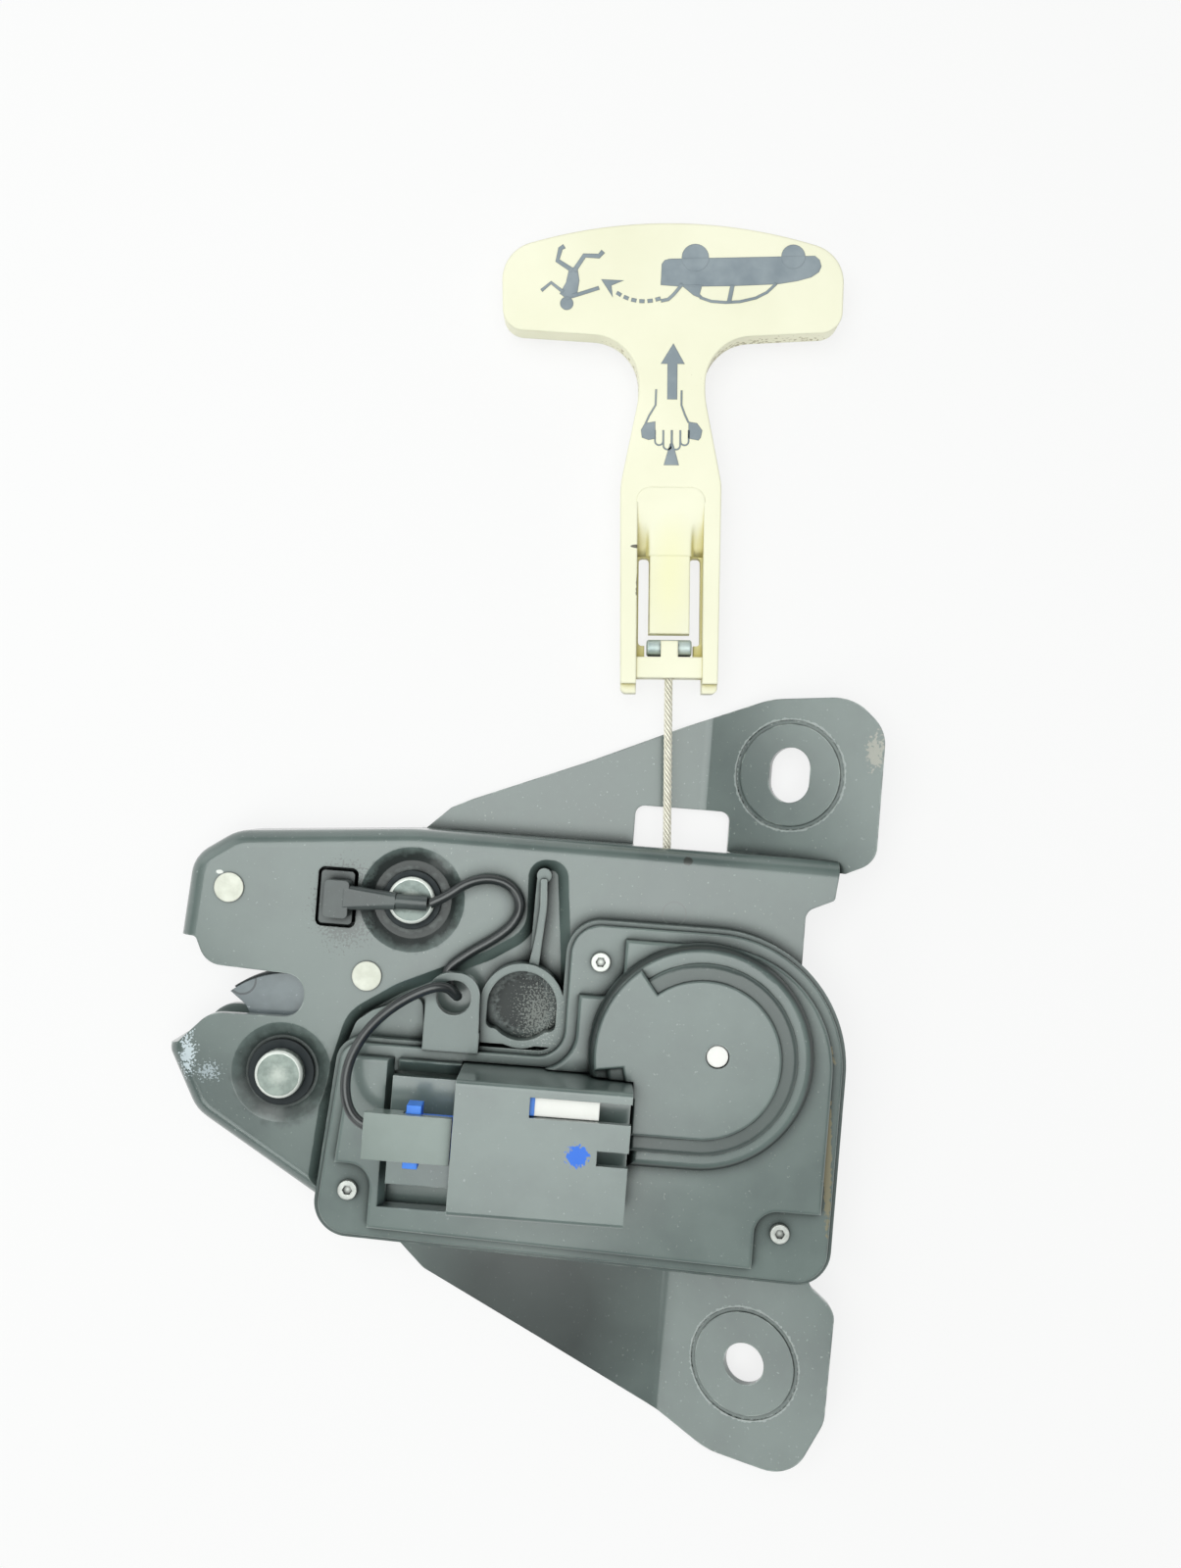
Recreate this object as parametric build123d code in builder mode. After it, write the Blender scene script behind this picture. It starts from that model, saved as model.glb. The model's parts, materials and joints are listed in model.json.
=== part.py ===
from build123d import *
from math import copysign, cos, pi, radians, sin, sqrt, tan
import os

os.makedirs("parts", exist_ok=True)

# A trunk latch with its power release actuator and its emergency release handle.
# Frame: origin at the centre of the lower bolt hole, +Y towards the upper bolt slot,
# +Z out of the front plate. All sizes are in millimetres.

# Clearances
seat_gap = 0.3          # between pieces that are held but don't press
shank_gap = 0.05        # round a rivet's shank
running_gap = 0.05      # radial, between a pivot and what turns on it
thin_gap = 0.2          # between flat pieces that slide past each other

# Latch plate, one steel stamping
sheet_t = 1.8
plate_z = 8.0           # front face
rest_z = -8.0           # underside of the wings, where the latch rests
bend_r = 3.4
top_wall_y = 106.5
bottom_wall_y = 22.5
plate_right_x = 4.2
flange_right_x = 10.5
case_left_x = -123.2
shallow_wall_x = -77.0  # left of this the walls end at the back plate
slot_y = 70.7           # striker slot
slot_width = 8.6
slot_end_x = -96.7
slot_reach = 12.0       # how far the slot's cutter runs out of the mouth

# Wings and bolt holes
pad_tilt = 22.5
pad_right_x = 17.6
bolt_spacing = 123.6
bolt_hole_r = 4.3
bolt_slot_length = 11.6
coin_r = 11.6           # coined ring round each bolt hole
coin_width = 0.9
coin_depth = 0.3
window_width = 20.0     # where the release cable enters
window_outer_y = 114.8
window_top_z = 3.2
window_x = -21.6

# Back plate
back_t = 2.0
back_z = -4.0           # its inner face
back_right_x = -46.0

# Drawn valley in the plate, left of the actuator
valley_depth = 1.2
valley_run = 2.2        # how far its side slopes in

# Fork and its pivot
fork_x, fork_y = -100.1, 55.0
fork_high_r = 23.0
fork_low_r = 20.0
fork_hub_r = 11.0
fork_low_z, fork_high_z = -1.4, 2.6
overmould_t = 1.2
liner_t = 1.0
notch_r = 15.7          # striker's place on the fork
notch_angle = 143.0
notch_width = 8.8
mouth_reach = 16.0      # how far the notch's cutter runs outwards
tooth_angle = 83.0      # end of the high arc while the latch is open

# Pivots and rivets
pivot_r = 3.5
pivot_tail_r = 2.8
tail_head_r = 4.6
fork_flange_r, fork_head_r = 6.7, 4.9
pawl_flange_r, pawl_head_r = 6.0, 4.8
fork_head_z, pawl_head_z = 10.8, 9.6
flange_t = 1.1
dish_depth = 1.2        # drawn depression under each pivot's head
fork_dish_r, pawl_dish_r = 10.2, 10.8
dish_run = 2.8          # how far the depression's side slopes in
spacer_head_r = 3.0
spacer_head_t = 0.35
spacer_body_r = 2.4
spacer_shank_r = 1.9
spacer_tail_t = 1.2
spacer_clear = 3.3      # from the fork's rim to the nearer rivet's middle
far_spacer = (-113.6, 91.8)
near_spacer_angle = 52.7

# Pawl and release lever
pawl_x, pawl_y = -76.2, 92.1
pawl_nose_angle = 30.0  # seen from the fork's pivot
nose_gap = 0.3
pawl_boss_r = 7.4
pawl_top_z = 2.7
hub_boss_r = 4.9
lever_t = 1.5
lever_low_z = back_z + thin_gap
lever_top_z = lever_low_z + lever_t

# Pull cable and handle
pull_lean = 3.9         # how far the cable leans from +Y towards -X
pin_y = 148.2           # barrel on the cable, in the handle
pin_x = -27.5
cable_z = -0.4
cable_r = 0.9
nipple_y = 88.0         # face of the lever's tab that the nipple bears on
nipple_r = 1.8
nipple_length = 5.0
nipple_gap = 0.3        # the nipple's end leans against the tab's flat face
nipple_bevel = 0.5
tab_slot_width = 2.9
pin_r = 1.75
pin_length = 9.4
handle_t = 5.2

# Actuator housing
base_z = plate_z
base_floor_t = 1.2
rim_z = 12.0            # where the base ends and the cover starts
flange_z = 13.4         # top of the cover's flange
cover_z = 15.6          # cover's flat top
lip_width = 0.9         # base's edge outside the cover's flange
block_inset = 3.2       # from the base's edge to the cover's raised part
wall_t = 1.5
screw_places = [(-36.9, 83.2), (-83.8, 34.0), (2.9, 31.9)]
pocket_reaches = [(4.7, -6.7), (4.4, 5.5), (-5.2, 4.5)]  # from each screw to its pocket's corner
pocket_r = 4.4
screw_head_r = 1.9
screw_head_t = 1.2
screw_socket_r, screw_socket_depth = 1.0, 0.7
screw_shank_r = 1.1
post_r = 3.0            # post in the base round each screw
screw_grip = 0.8        # from the base's underside to the screw's tip

# Drive gear, worm and motor
gear_x, gear_y = -12.9, 67.4
gear_module = 0.7
gear_teeth = 41
gear_addendum, gear_dedendum = 0.5, 0.62
gear_low_z, gear_top_z = 11.8, 15.8
gear_hub_r = 2.1
gear_boss_r = 4.6       # boss in the base under the gear
gear_hole_r = 2.3
drum_gap = 0.4          # between the worm's thread and the drum's wall
drum_dx, drum_dy = -2.9, -1.0  # drum's middle from the gear's axis
drum_wall = 1.2
drum_z = 19.2           # top of the drum's outer step
drum_shoulder_z = 20.2
drum_face_z = 20.9
shoulder_step, face_step = 3.4, 6.6  # how far the two upper steps are set in
motor_z = 13.8          # height of the motor's axis
worm_pitch_r = 2.8
worm_length = 8.0
worm_turns = 3.25
worm_lead_in = 1.75     # turns before the one that meshes
bearing_length = 2.0
bearing_r = 1.7
shaft_r = 1.0
motor_length = 23.4
motor_width = 18.0
motor_height = 14.4
motor_right_x = -36.5

# Connector
shroud_left_x, shroud_right_x = -62.6, -29.1
shroud_low_y, shroud_high_y = 35.2, 61.0
shroud_z = 30.0
shroud_wall = 1.5
socket_floor_z = 22.6
socket_floor_t = 1.2
socket_corner_r = 0.6
socket_back_x = -50.0
recess_left_x = -76.4   # opening in the cover, round the connector
recess_low_y, recess_high_y = 31.6, 58.4
recess_slope = 2.6      # how far its upper side slopes out
tray_z, tray_t = 17.0, 1.8  # shelf behind the connector
roof_slot_x, roof_slot_y, roof_slot_width = -48.4, 56.9, 3.9
catch_y, catch_width, catch_length = 48.3, 2.8, 6.0

# Lead to the switch
lead_r = 1.0
lug_x, lug_y = -65.6, 73.8
lug_hole_r = 3.5
lug_low_z, lug_high_z = 11.2, 14.0
well_x, well_y = -52.0, 72.9
well_r, well_wall = 7.0, 1.5
well_low_y = 68.0
well_top_z = 12.0
finger_z = 10.6

# Switch
switch_x, switch_y = -91.5, 91.5
switch_window_x, switch_window_y = 8.2, 12.2
boot_z = 11.4


def polar(x, y, radius, angle):
    """Point at a radius and an angle in degrees round (x, y)."""
    return (x + radius * cos(radians(angle)), y + radius * sin(radians(angle)))


# Latch plate: the two wings are one bent strip, cut to both outlines
spacer_places = [far_spacer, polar(fork_x, fork_y, fork_high_r + spacer_clear, near_spacer_angle)]
tilt = radians(pad_tilt)
half_rise = sheet_t / 2 / cos(tilt)
bend_x = (rest_z + half_rise) / tan(tilt)


def pad_under_z(x):
    """Height of the pads' underside at x."""
    return x * tan(tilt) - half_rise


wing_far_x = pad_right_x + 6
wing_start_x = -80.0
strip_length = bolt_spacing + 80
upper_wing = [
    (-77, top_wall_y - 1), (-71, 111.2), (-66.5, 113.4), (-42.6, 123.2), (-22.4, 132.3),
    (-5, 139.3), (11, 140.6), (pad_right_x, 134), (pad_right_x, 107), (12, top_wall_y - 2.4),
]
upper_wing_r = [0.5, 2, 4, 60, 60, 14, 9, 8, 5, 0.5]
lower_wing = [
    (-77, bottom_wall_y + 1), (-75.4, 18), (-69.5, 12.4), (-44.5, -0.1), (-19.5, -12.8),
    (-6.5, -19.6), (10.5, -21.2), (pad_right_x - 1.6, -8), (pad_right_x - 1.2, 15),
    (11, 19), (11, bottom_wall_y + 1),
]
lower_wing_r = [0.5, 2, 4, 60, 60, 12, 8, 8, 4, 3, 0.5]
pad_x_dir = (cos(tilt), 0, sin(tilt))
pad_z_dir = (-sin(tilt), 0, cos(tilt))
lower_pad = Plane(origin=(0, 0, 0), x_dir=pad_x_dir, z_dir=pad_z_dir)
upper_pad = Plane(origin=(0, bolt_spacing, 0), x_dir=pad_x_dir, z_dir=pad_z_dir)

with BuildPart() as wings:
    with BuildSketch(Plane(origin=(0, -40, 0), x_dir=(1, 0, 0), z_dir=(0, -1, 0))):
        with BuildLine():
            FilletPolyline(
                (wing_start_x, rest_z), (bend_x, rest_z), (wing_far_x, pad_under_z(wing_far_x)),
                (wing_far_x, pad_under_z(wing_far_x) + 2 * half_rise),
                (bend_x - sheet_t * tan(tilt / 2), rest_z + sheet_t),
                (wing_start_x, rest_z + sheet_t),
                radius=[0, 6, 0, 0, 4, 0], close=True,
            )
        make_face()
    extrude(amount=-strip_length)
    with BuildSketch(Plane.XY.offset(rest_z - 1)):
        for outline, corner_r in ((upper_wing, upper_wing_r), (lower_wing, lower_wing_r)):
            with BuildLine():
                FilletPolyline(*outline, radius=corner_r, close=True)
            make_face()
    extrude(amount=40, mode=Mode.INTERSECT)
    for pad in (lower_pad, upper_pad):
        with BuildSketch(pad.offset(sheet_t / 2)):
            Circle(coin_r)
            Circle(coin_r - coin_width, mode=Mode.SUBTRACT)
        extrude(amount=-coin_depth, mode=Mode.SUBTRACT)
    with BuildSketch(lower_pad):
        Circle(bolt_hole_r)
    extrude(amount=sheet_t * 2, both=True, mode=Mode.SUBTRACT)
    with BuildSketch(upper_pad):
        SlotOverall(bolt_slot_length, 2 * bolt_hole_r, rotation=90)
    extrude(amount=sheet_t * 2, both=True, mode=Mode.SUBTRACT)

# The raised plate is a drawn shell, open at the back and cut off at its right end
plate_outline = [
    (case_left_x - 0.5, 57.4), (-117.4, 45.4), (-79, bottom_wall_y), (30, bottom_wall_y),
    (30, top_wall_y), (-77, top_wall_y), (-113.5, 103.4), (-122, 97.5), (case_left_x, 80),
]
plate_outline_r = [2.5, 9, 8, 4, 4, 60, 9, 7, 4]
slot_low_y = slot_y - slot_width / 2
slot_high_y = slot_y + slot_width / 2
slot_outline = [
    (case_left_x - slot_reach, 81.4), (-119.7, 81.4), (-117.2, slot_high_y + 0.9),
    (slot_end_x, slot_high_y), (slot_end_x, slot_low_y), (-115.5, slot_low_y - 0.3),
    (-121.6, 59.6), (case_left_x - slot_reach, 55.0),
]
slot_outline_r = [0.5, 1.2, 5, 4, 4, 6, 1.2, 0.5]
dishes = [
    (fork_x, fork_y, fork_dish_r), (pawl_x, pawl_y, pawl_dish_r),
]
valley_outline = [
    (-45.0, 102.4), (-53.0, 102.4), (-52.4, 88.0), (-60.0, 83.0), (-78.0, 74.8), (-87.6, 68.4),
    (-91.6, 52.0), (-93.2, 32.0), (-86.0, 30.0), (-80.0, 56.0), (-60.0, 60.0), (-40.8, 62.0),
    (-43.0, 84.0),
]
valley_outline_r = [3.6, 3.6, 6, 12, 12, 8, 40, 3.2, 3.2, 3, 20, 6, 20]
lever_slot_x, lever_slot_y = -24.0, 82.8
lever_slot_width, lever_slot_height = 10.0, 14.8
tub_left_x, tub_right_x = motor_right_x - motor_length - 2.0, motor_right_x + 1.6
gear_r = gear_teeth * gear_module / 2
worm_y = gear_y - gear_r - worm_pitch_r
tub_half_y = motor_width / 2 + 2.0
plate_under_z = plate_z - sheet_t

with BuildPart() as latch_plate:
    with BuildSketch(Plane.XY.offset(rest_z)):
        with BuildLine():
            FilletPolyline(*plate_outline, radius=plate_outline_r, close=True)
        make_face()
    extrude(amount=plate_z - rest_z)
    fillet(latch_plate.faces().sort_by(Axis.Z)[-1].edges(), bend_r)
    offset(amount=-sheet_t, openings=latch_plate.faces().sort_by(Axis.Z)[0])
    # right end, with its notch beside the flange
    with BuildSketch(Plane.XY.offset(rest_z - 1)):
        with BuildLine():
            FilletPolyline(
                (plate_right_x, 10), (plate_right_x, 96), (flange_right_x - 0.6, 98.6),
                (flange_right_x, 104.5), (flange_right_x, 115), (40, 115), (40, 10),
                radius=[0, 2.5, 1, 1, 0, 0, 0], close=True,
            )
        make_face()
    extrude(amount=30, mode=Mode.SUBTRACT)
    # walls left of the wings end level with the back plate
    with BuildSketch(Plane.XY.offset(rest_z - 1)):
        with Locations(((case_left_x - slot_reach + shallow_wall_x) / 2, slot_y)):
            Rectangle(shallow_wall_x - case_left_x + slot_reach, strip_length)
    extrude(amount=back_z - back_t - rest_z + 1, mode=Mode.SUBTRACT)
    # walls end at the pads' underside where the pads rise
    with BuildSketch(Plane(origin=(0, -40, 0), x_dir=(1, 0, 0), z_dir=(0, -1, 0))):
        with BuildLine():
            Polyline(
                (bend_x, rest_z), (wing_far_x, pad_under_z(wing_far_x)),
                (wing_far_x, rest_z - 5), (bend_x, rest_z - 5), close=True,
            )
        make_face()
    extrude(amount=-strip_length, mode=Mode.SUBTRACT)
    add(wings.part)
    # striker slot
    with BuildSketch(Plane.XY.offset(rest_z - 1)):
        with BuildLine():
            FilletPolyline(*slot_outline, radius=slot_outline_r, close=True)
        make_face()
    extrude(amount=30, mode=Mode.SUBTRACT)
    # cable window, through the upper wing and the wall's foot
    with BuildSketch(Plane.XY.offset(rest_z - 1)):
        with Locations((window_x, (top_wall_y - 4 + window_outer_y) / 2)):
            RectangleRounded(window_width, window_outer_y - top_wall_y + 4, 2)
    extrude(amount=window_top_z - rest_z + 1, mode=Mode.SUBTRACT)
    # openings of the front face
    with BuildSketch(Plane.XY.offset(plate_z)):
        with Locations((lever_slot_x, lever_slot_y)):
            RectangleRounded(lever_slot_width, lever_slot_height, 2)
        with Locations(((tub_left_x + tub_right_x) / 2, worm_y)):
            RectangleRounded(tub_right_x - tub_left_x + 1, 2 * tub_half_y + 1, 2)
        with Locations(*spacer_places):
            Circle(spacer_shank_r + shank_gap)
        for x, y, dish_r in dishes:
            with Locations((x, y)):
                Circle(dish_r)
    extrude(amount=-sheet_t * 1.5, mode=Mode.SUBTRACT)
    # drawn depressions round the two pivots
    for x, y, dish_r in dishes:
        floor_r = dish_r - dish_run
        with BuildSketch(Plane(origin=(x, y, 0), x_dir=(1, 0, 0), z_dir=(0, -1, 0))):
            with BuildLine():
                Polyline(
                    (pivot_r + shank_gap, plate_z - dish_depth), (floor_r, plate_z - dish_depth),
                    (dish_r, plate_z), (dish_r, plate_under_z), (floor_r, plate_under_z - dish_depth),
                    (pivot_r + shank_gap, plate_under_z - dish_depth), close=True,
                )
            make_face()
        revolve(axis=Axis((x, y, 0), (0, 0, 1)))
    # window for the switch
    with BuildSketch(Plane.XY.offset(plate_z)):
        with Locations((switch_x, switch_y)):
            RectangleRounded(switch_window_x, switch_window_y, 1.4)
    extrude(amount=-sheet_t * 2, mode=Mode.SUBTRACT)
    # drawn valley: the same loft, first added below the sheet and then cut from its face
    for level_z, lofted in ((plate_under_z, Mode.ADD), (plate_z, Mode.SUBTRACT)):
        with BuildSketch(Plane.XY.offset(level_z)):
            with BuildLine():
                FilletPolyline(*valley_outline, radius=valley_outline_r, close=True)
            make_face()
        with BuildSketch(Plane.XY.offset(level_z - valley_depth)):
            with BuildLine():
                FilletPolyline(*valley_outline, radius=valley_outline_r, close=True)
            make_face()
            offset(amount=-valley_run)
        loft(ruled=True, mode=lofted)

latch_plate.part.label = "latch_plate"
export_step(latch_plate.part, "parts/latch_plate.step")

# Back plate: flat steel inside the walls, held by the rivets
with BuildPart() as back_plate:
    with BuildSketch(Plane.XY.offset(back_z - back_t)):
        with BuildLine():
            FilletPolyline(*plate_outline, radius=plate_outline_r, close=True)
        make_face()
        offset(amount=-(sheet_t + seat_gap))
        with Locations((back_right_x + strip_length / 2, slot_y)):
            Rectangle(strip_length, strip_length, mode=Mode.SUBTRACT)
        with BuildLine():
            FilletPolyline(*slot_outline, radius=slot_outline_r, close=True)
        make_face(mode=Mode.SUBTRACT)
        with Locations((fork_x, fork_y), (pawl_x, pawl_y)):
            Circle(pivot_tail_r + shank_gap, mode=Mode.SUBTRACT)
        with Locations(*spacer_places):
            Circle(spacer_shank_r + shank_gap, mode=Mode.SUBTRACT)
    extrude(amount=back_t)

back_plate.part.label = "back_plate"
export_step(back_plate.part, "parts/back_plate.step")


def pivot_section(flange_r, head_r, head_z):
    """Half section of a shouldered rivet, as (radius, z) points from its head to its tail."""
    seat_z = plate_z - dish_depth
    tail_z = back_z - back_t
    return [
        (0, head_z), (head_r, head_z), (head_r, seat_z + flange_t), (flange_r, seat_z + flange_t),
        (flange_r, seat_z), (pivot_r, seat_z), (pivot_r, back_z), (pivot_tail_r, back_z),
        (pivot_tail_r, tail_z), (tail_head_r, tail_z), (tail_head_r, rest_z), (0, rest_z),
    ]


# Fork pivot: shouldered rivet with a flange under its head
with BuildPart() as fork_pivot:
    with BuildSketch(Plane(origin=(fork_x, fork_y, 0), x_dir=(1, 0, 0), z_dir=(0, -1, 0))):
        with BuildLine():
            Polyline(*pivot_section(fork_flange_r, fork_head_r, fork_head_z), close=True)
        make_face()
    revolve(axis=Axis((fork_x, fork_y, 0), (0, 0, 1)))
    fillet(fork_pivot.faces().sort_by(Axis.Z)[-1].edges(), 0.9)

fork_pivot.part.label = "fork_pivot"
export_step(fork_pivot.part, "parts/fork_pivot.step")

# Pawl pivot: the same kind of rivet, with a lower head
with BuildPart() as pawl_pivot:
    with BuildSketch(Plane(origin=(pawl_x, pawl_y, 0), x_dir=(1, 0, 0), z_dir=(0, -1, 0))):
        with BuildLine():
            Polyline(*pivot_section(pawl_flange_r, pawl_head_r, pawl_head_z), close=True)
        make_face()
    revolve(axis=Axis((pawl_x, pawl_y, 0), (0, 0, 1)))
    fillet(pawl_pivot.faces().sort_by(Axis.Z)[-1].edges(), 0.7)

pawl_pivot.part.label = "pawl_pivot"
export_step(pawl_pivot.part, "parts/pawl_pivot.step")

# Spacer rivets: they hold the back plate at its distance
with BuildPart() as spacer_rivets:
    for x, y in spacer_places:
        with BuildSketch(Plane(origin=(x, y, 0), x_dir=(1, 0, 0), z_dir=(0, -1, 0))):
            with BuildLine():
                Polyline(
                    (0, plate_z + spacer_head_t), (spacer_head_r, plate_z + spacer_head_t),
                    (spacer_head_r, plate_z), (spacer_shank_r, plate_z),
                    (spacer_shank_r, plate_under_z), (spacer_body_r, plate_under_z),
                    (spacer_body_r, back_z), (spacer_shank_r, back_z),
                    (spacer_shank_r, back_z - back_t), (spacer_head_r, back_z - back_t),
                    (spacer_head_r, back_z - back_t - spacer_tail_t),
                    (0, back_z - back_t - spacer_tail_t), close=True,
                )
            make_face()
        revolve(axis=Axis((x, y, 0), (0, 0, 1)))

spacer_rivets.part.label = "spacer_rivets"
export_step(spacer_rivets.part, "parts/spacer_rivets.step")

# Fork: steel catch that takes the striker; its notch is lined with plastic
notch_x, notch_y = polar(fork_x, fork_y, notch_r, notch_angle)
mouth_x, mouth_y = polar(fork_x, fork_y, notch_r + mouth_reach, notch_angle)

with BuildPart() as fork:
    with BuildSketch(Plane.XY.offset(fork_low_z)):
        with BuildLine():
            high = CenterArc((fork_x, fork_y), fork_high_r, 18, tooth_angle - 18)
            low = CenterArc((fork_x, fork_y), fork_low_r, tooth_angle + 3, 176 - tooth_angle - 3)
            hub = CenterArc((fork_x, fork_y), fork_hub_r, 196, 150)
            Line(high @ 1, low @ 0)
            Line(low @ 1, hub @ 0)
            Line(hub @ 1, high @ 0)
        make_face()
        with Locations(((notch_x + mouth_x) / 2, (notch_y + mouth_y) / 2)):
            SlotCenterToCenter(mouth_reach, notch_width + 2 * liner_t, rotation=notch_angle, mode=Mode.SUBTRACT)
    extrude(amount=fork_high_z - fork_low_z)
    with BuildSketch(Plane.XY.offset(back_z + thin_gap)):
        with Locations((fork_x, fork_y)):
            Circle(hub_boss_r)
    extrude(amount=fork_low_z - back_z - thin_gap)
    with BuildSketch(Plane.XY.offset(back_z)):
        with Locations((fork_x, fork_y)):
            Circle(pivot_r + running_gap)
    extrude(amount=12, mode=Mode.SUBTRACT)

fork.part.label = "fork"
export_step(fork.part, "parts/fork.step")

# Fork overmould: plastic on the fork's front face, turned down into the notch
with BuildPart() as fork_overmould:
    with BuildSketch(Plane.XY.offset(fork_high_z)):
        with BuildLine():
            high = CenterArc((fork_x, fork_y), fork_high_r - 1, 20, tooth_angle - 20)
            low = CenterArc((fork_x, fork_y), fork_low_r - 0.4, tooth_angle + 3, 175 - tooth_angle - 3)
            hub = CenterArc((fork_x, fork_y), fork_hub_r - 0.6, 198, 146)
            Line(high @ 1, low @ 0)
            Line(low @ 1, hub @ 0)
            Line(hub @ 1, high @ 0)
        make_face()
    extrude(amount=overmould_t)
    with BuildSketch(Plane.XY.offset(fork_low_z)):
        with Locations(((notch_x + mouth_x) / 2, (notch_y + mouth_y) / 2)):
            SlotCenterToCenter(mouth_reach, notch_width + 2 * liner_t, rotation=notch_angle)
        with Locations((fork_x, fork_y)):
            Circle(fork_low_r - 0.4, mode=Mode.INTERSECT)
    extrude(amount=fork_high_z - fork_low_z)
    with BuildSketch(Plane.XY.offset(fork_low_z - 1)):
        with Locations(((notch_x + mouth_x) / 2, (notch_y + mouth_y) / 2)):
            SlotCenterToCenter(mouth_reach, notch_width, rotation=notch_angle)
    extrude(amount=12, mode=Mode.SUBTRACT)
    with BuildSketch(Plane.XY.offset(fork_high_z)):
        with Locations((fork_x, fork_y)):
            Circle(pivot_r + 2.6)
    extrude(amount=plate_under_z - dish_depth - thin_gap - fork_high_z)
    with BuildSketch(Plane.XY.offset(fork_high_z)):
        with Locations((fork_x, fork_y)):
            Circle(pivot_r + running_gap)
    extrude(amount=8, mode=Mode.SUBTRACT)

fork_overmould.part.label = "fork_overmould"
export_step(fork_overmould.part, "parts/fork_overmould.step")

# Pawl: short strut whose nose holds the fork's tooth
nose = polar(fork_x, fork_y, fork_high_r + nose_gap, pawl_nose_angle)
with BuildPart() as pawl:
    with BuildSketch(Plane.XY.offset(lever_top_z)):
        with BuildLine():
            FilletPolyline(
                (-82.6, 90), (-81.2, 79), (-81.2, 72.2), nose, (nose[0] + 4.6, nose[1] - 2.0),
                (-72.2, 69), (-70.4, 80), (-69.8, 92),
                radius=[0, 2, 4, 0.4, 1, 3, 6, 0], close=True,
            )
        make_face()
        with Locations((pawl_x, pawl_y)):
            Circle(pawl_boss_r)
    extrude(amount=pawl_top_z - lever_top_z)
    with BuildSketch(Plane.XY.offset(pawl_top_z)):
        with Locations((pawl_x, pawl_y)):
            Circle(hub_boss_r)
    extrude(amount=plate_under_z - dish_depth - thin_gap - pawl_top_z)
    with BuildSketch(Plane.XY.offset(lever_top_z)):
        with Locations((pawl_x, pawl_y)):
            Circle(pivot_r + running_gap)
    extrude(amount=12, mode=Mode.SUBTRACT)

pawl.part.label = "pawl"
export_step(pawl.part, "parts/pawl.step")

# Release lever: bent sheet with a slotted tab for the cable and a tall tab for the cam
lean = radians(pull_lean)
pull_x, pull_y = -sin(lean), cos(lean)


def cable_x(y):
    """X of the cable's line at a height y."""
    return pin_x + (y - pin_y) * pull_x / pull_y


tab_x = cable_x(nipple_y)
tab_width = 8.0
cam_tab_x, cam_tab_y = -25.0, 77.2
cam_tab_width = 5.6
cam_tab_top_z = 11.2
with BuildPart() as release_lever:
    with BuildSketch(Plane.XY.offset(lever_low_z)):
        with BuildLine():
            FilletPolyline(
                (-76, 84.8), (-34, 83.4), (cam_tab_x - cam_tab_width / 2, cam_tab_y),
                (cam_tab_x + cam_tab_width / 2, cam_tab_y), (tab_x + tab_width / 2, cam_tab_y + 6.8),
                (tab_x + tab_width / 2, nipple_y + lever_t), (tab_x - tab_width / 2, nipple_y + lever_t),
                (-36, 91.6), (-60, 96.6), (-76, 99.4),
                radius=[0, 6, 0.3, 0.3, 2, 0.3, 0.3, 5, 20, 0], close=True,
            )
        make_face()
        with Locations((pawl_x, pawl_y)):
            Circle(pawl_boss_r)
            Circle(pivot_r + running_gap, mode=Mode.SUBTRACT)
    extrude(amount=lever_t)
    with BuildSketch(Plane.XY.offset(lever_low_z)):
        with Locations((tab_x, nipple_y + lever_t / 2)):
            Rectangle(tab_width, lever_t)
    extrude(amount=cable_z + 3.4 - lever_low_z)
    with BuildSketch(Plane.XY.offset(cable_z - cable_r - 0.3)):
        with Locations((tab_x, nipple_y + lever_t / 2)):
            Rectangle(tab_slot_width, lever_t * 2)
    extrude(amount=8, mode=Mode.SUBTRACT)
    with BuildSketch(Plane.XY.offset(lever_low_z)):
        with Locations((cam_tab_x, cam_tab_y + lever_t / 2)):
            Rectangle(cam_tab_width, lever_t)
    extrude(amount=cam_tab_top_z - lever_low_z)

release_lever.part.label = "release_lever"
export_step(release_lever.part, "parts/release_lever.step")

# Springs: torsion coils round the two pivots
fork_spring_wire, pawl_spring_wire = 1.0, 1.0
with BuildPart() as fork_spring:
    with BuildLine() as fork_coil:
        Helix(pitch=1.15, height=1.15, radius=6.2, center=(fork_x, fork_y, back_z + 0.75))
    with BuildSketch(Plane(origin=fork_coil.line @ 0, z_dir=fork_coil.line % 0)):
        Circle(fork_spring_wire / 2)
    sweep(is_frenet=True)

fork_spring.part.label = "fork_spring"
export_step(fork_spring.part, "parts/fork_spring.step")

with BuildPart() as pawl_spring:
    with BuildLine() as pawl_coil:
        Helix(pitch=1.1, height=1.0, radius=5.9, center=(pawl_x, pawl_y, pawl_top_z + 0.65))
    with BuildSketch(Plane(origin=pawl_coil.line @ 0, z_dir=pawl_coil.line % 0)):
        Circle(pawl_spring_wire / 2)
    sweep(is_frenet=True)

pawl_spring.part.label = "pawl_spring"
export_step(pawl_spring.part, "parts/pawl_spring.step")

# Release cable with its nipple, and the barrel in the handle
cable_start = (cable_x(nipple_y - nipple_gap), nipple_y - nipple_gap, cable_z)
pin_centre = (pin_x, pin_y, cable_z)
cable_end = (pin_x - pull_x * pin_r, pin_y - pull_y * pin_r, cable_z)
cable_plane = Plane(origin=cable_start, x_dir=(0, 0, 1), z_dir=(pull_x, pull_y, 0))
cable_length = sqrt((cable_end[0] - cable_start[0]) ** 2 + (cable_end[1] - cable_start[1]) ** 2)
with BuildPart() as release_cable:
    with BuildSketch(cable_plane):
        Circle(cable_r)
    extrude(amount=cable_length)

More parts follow.
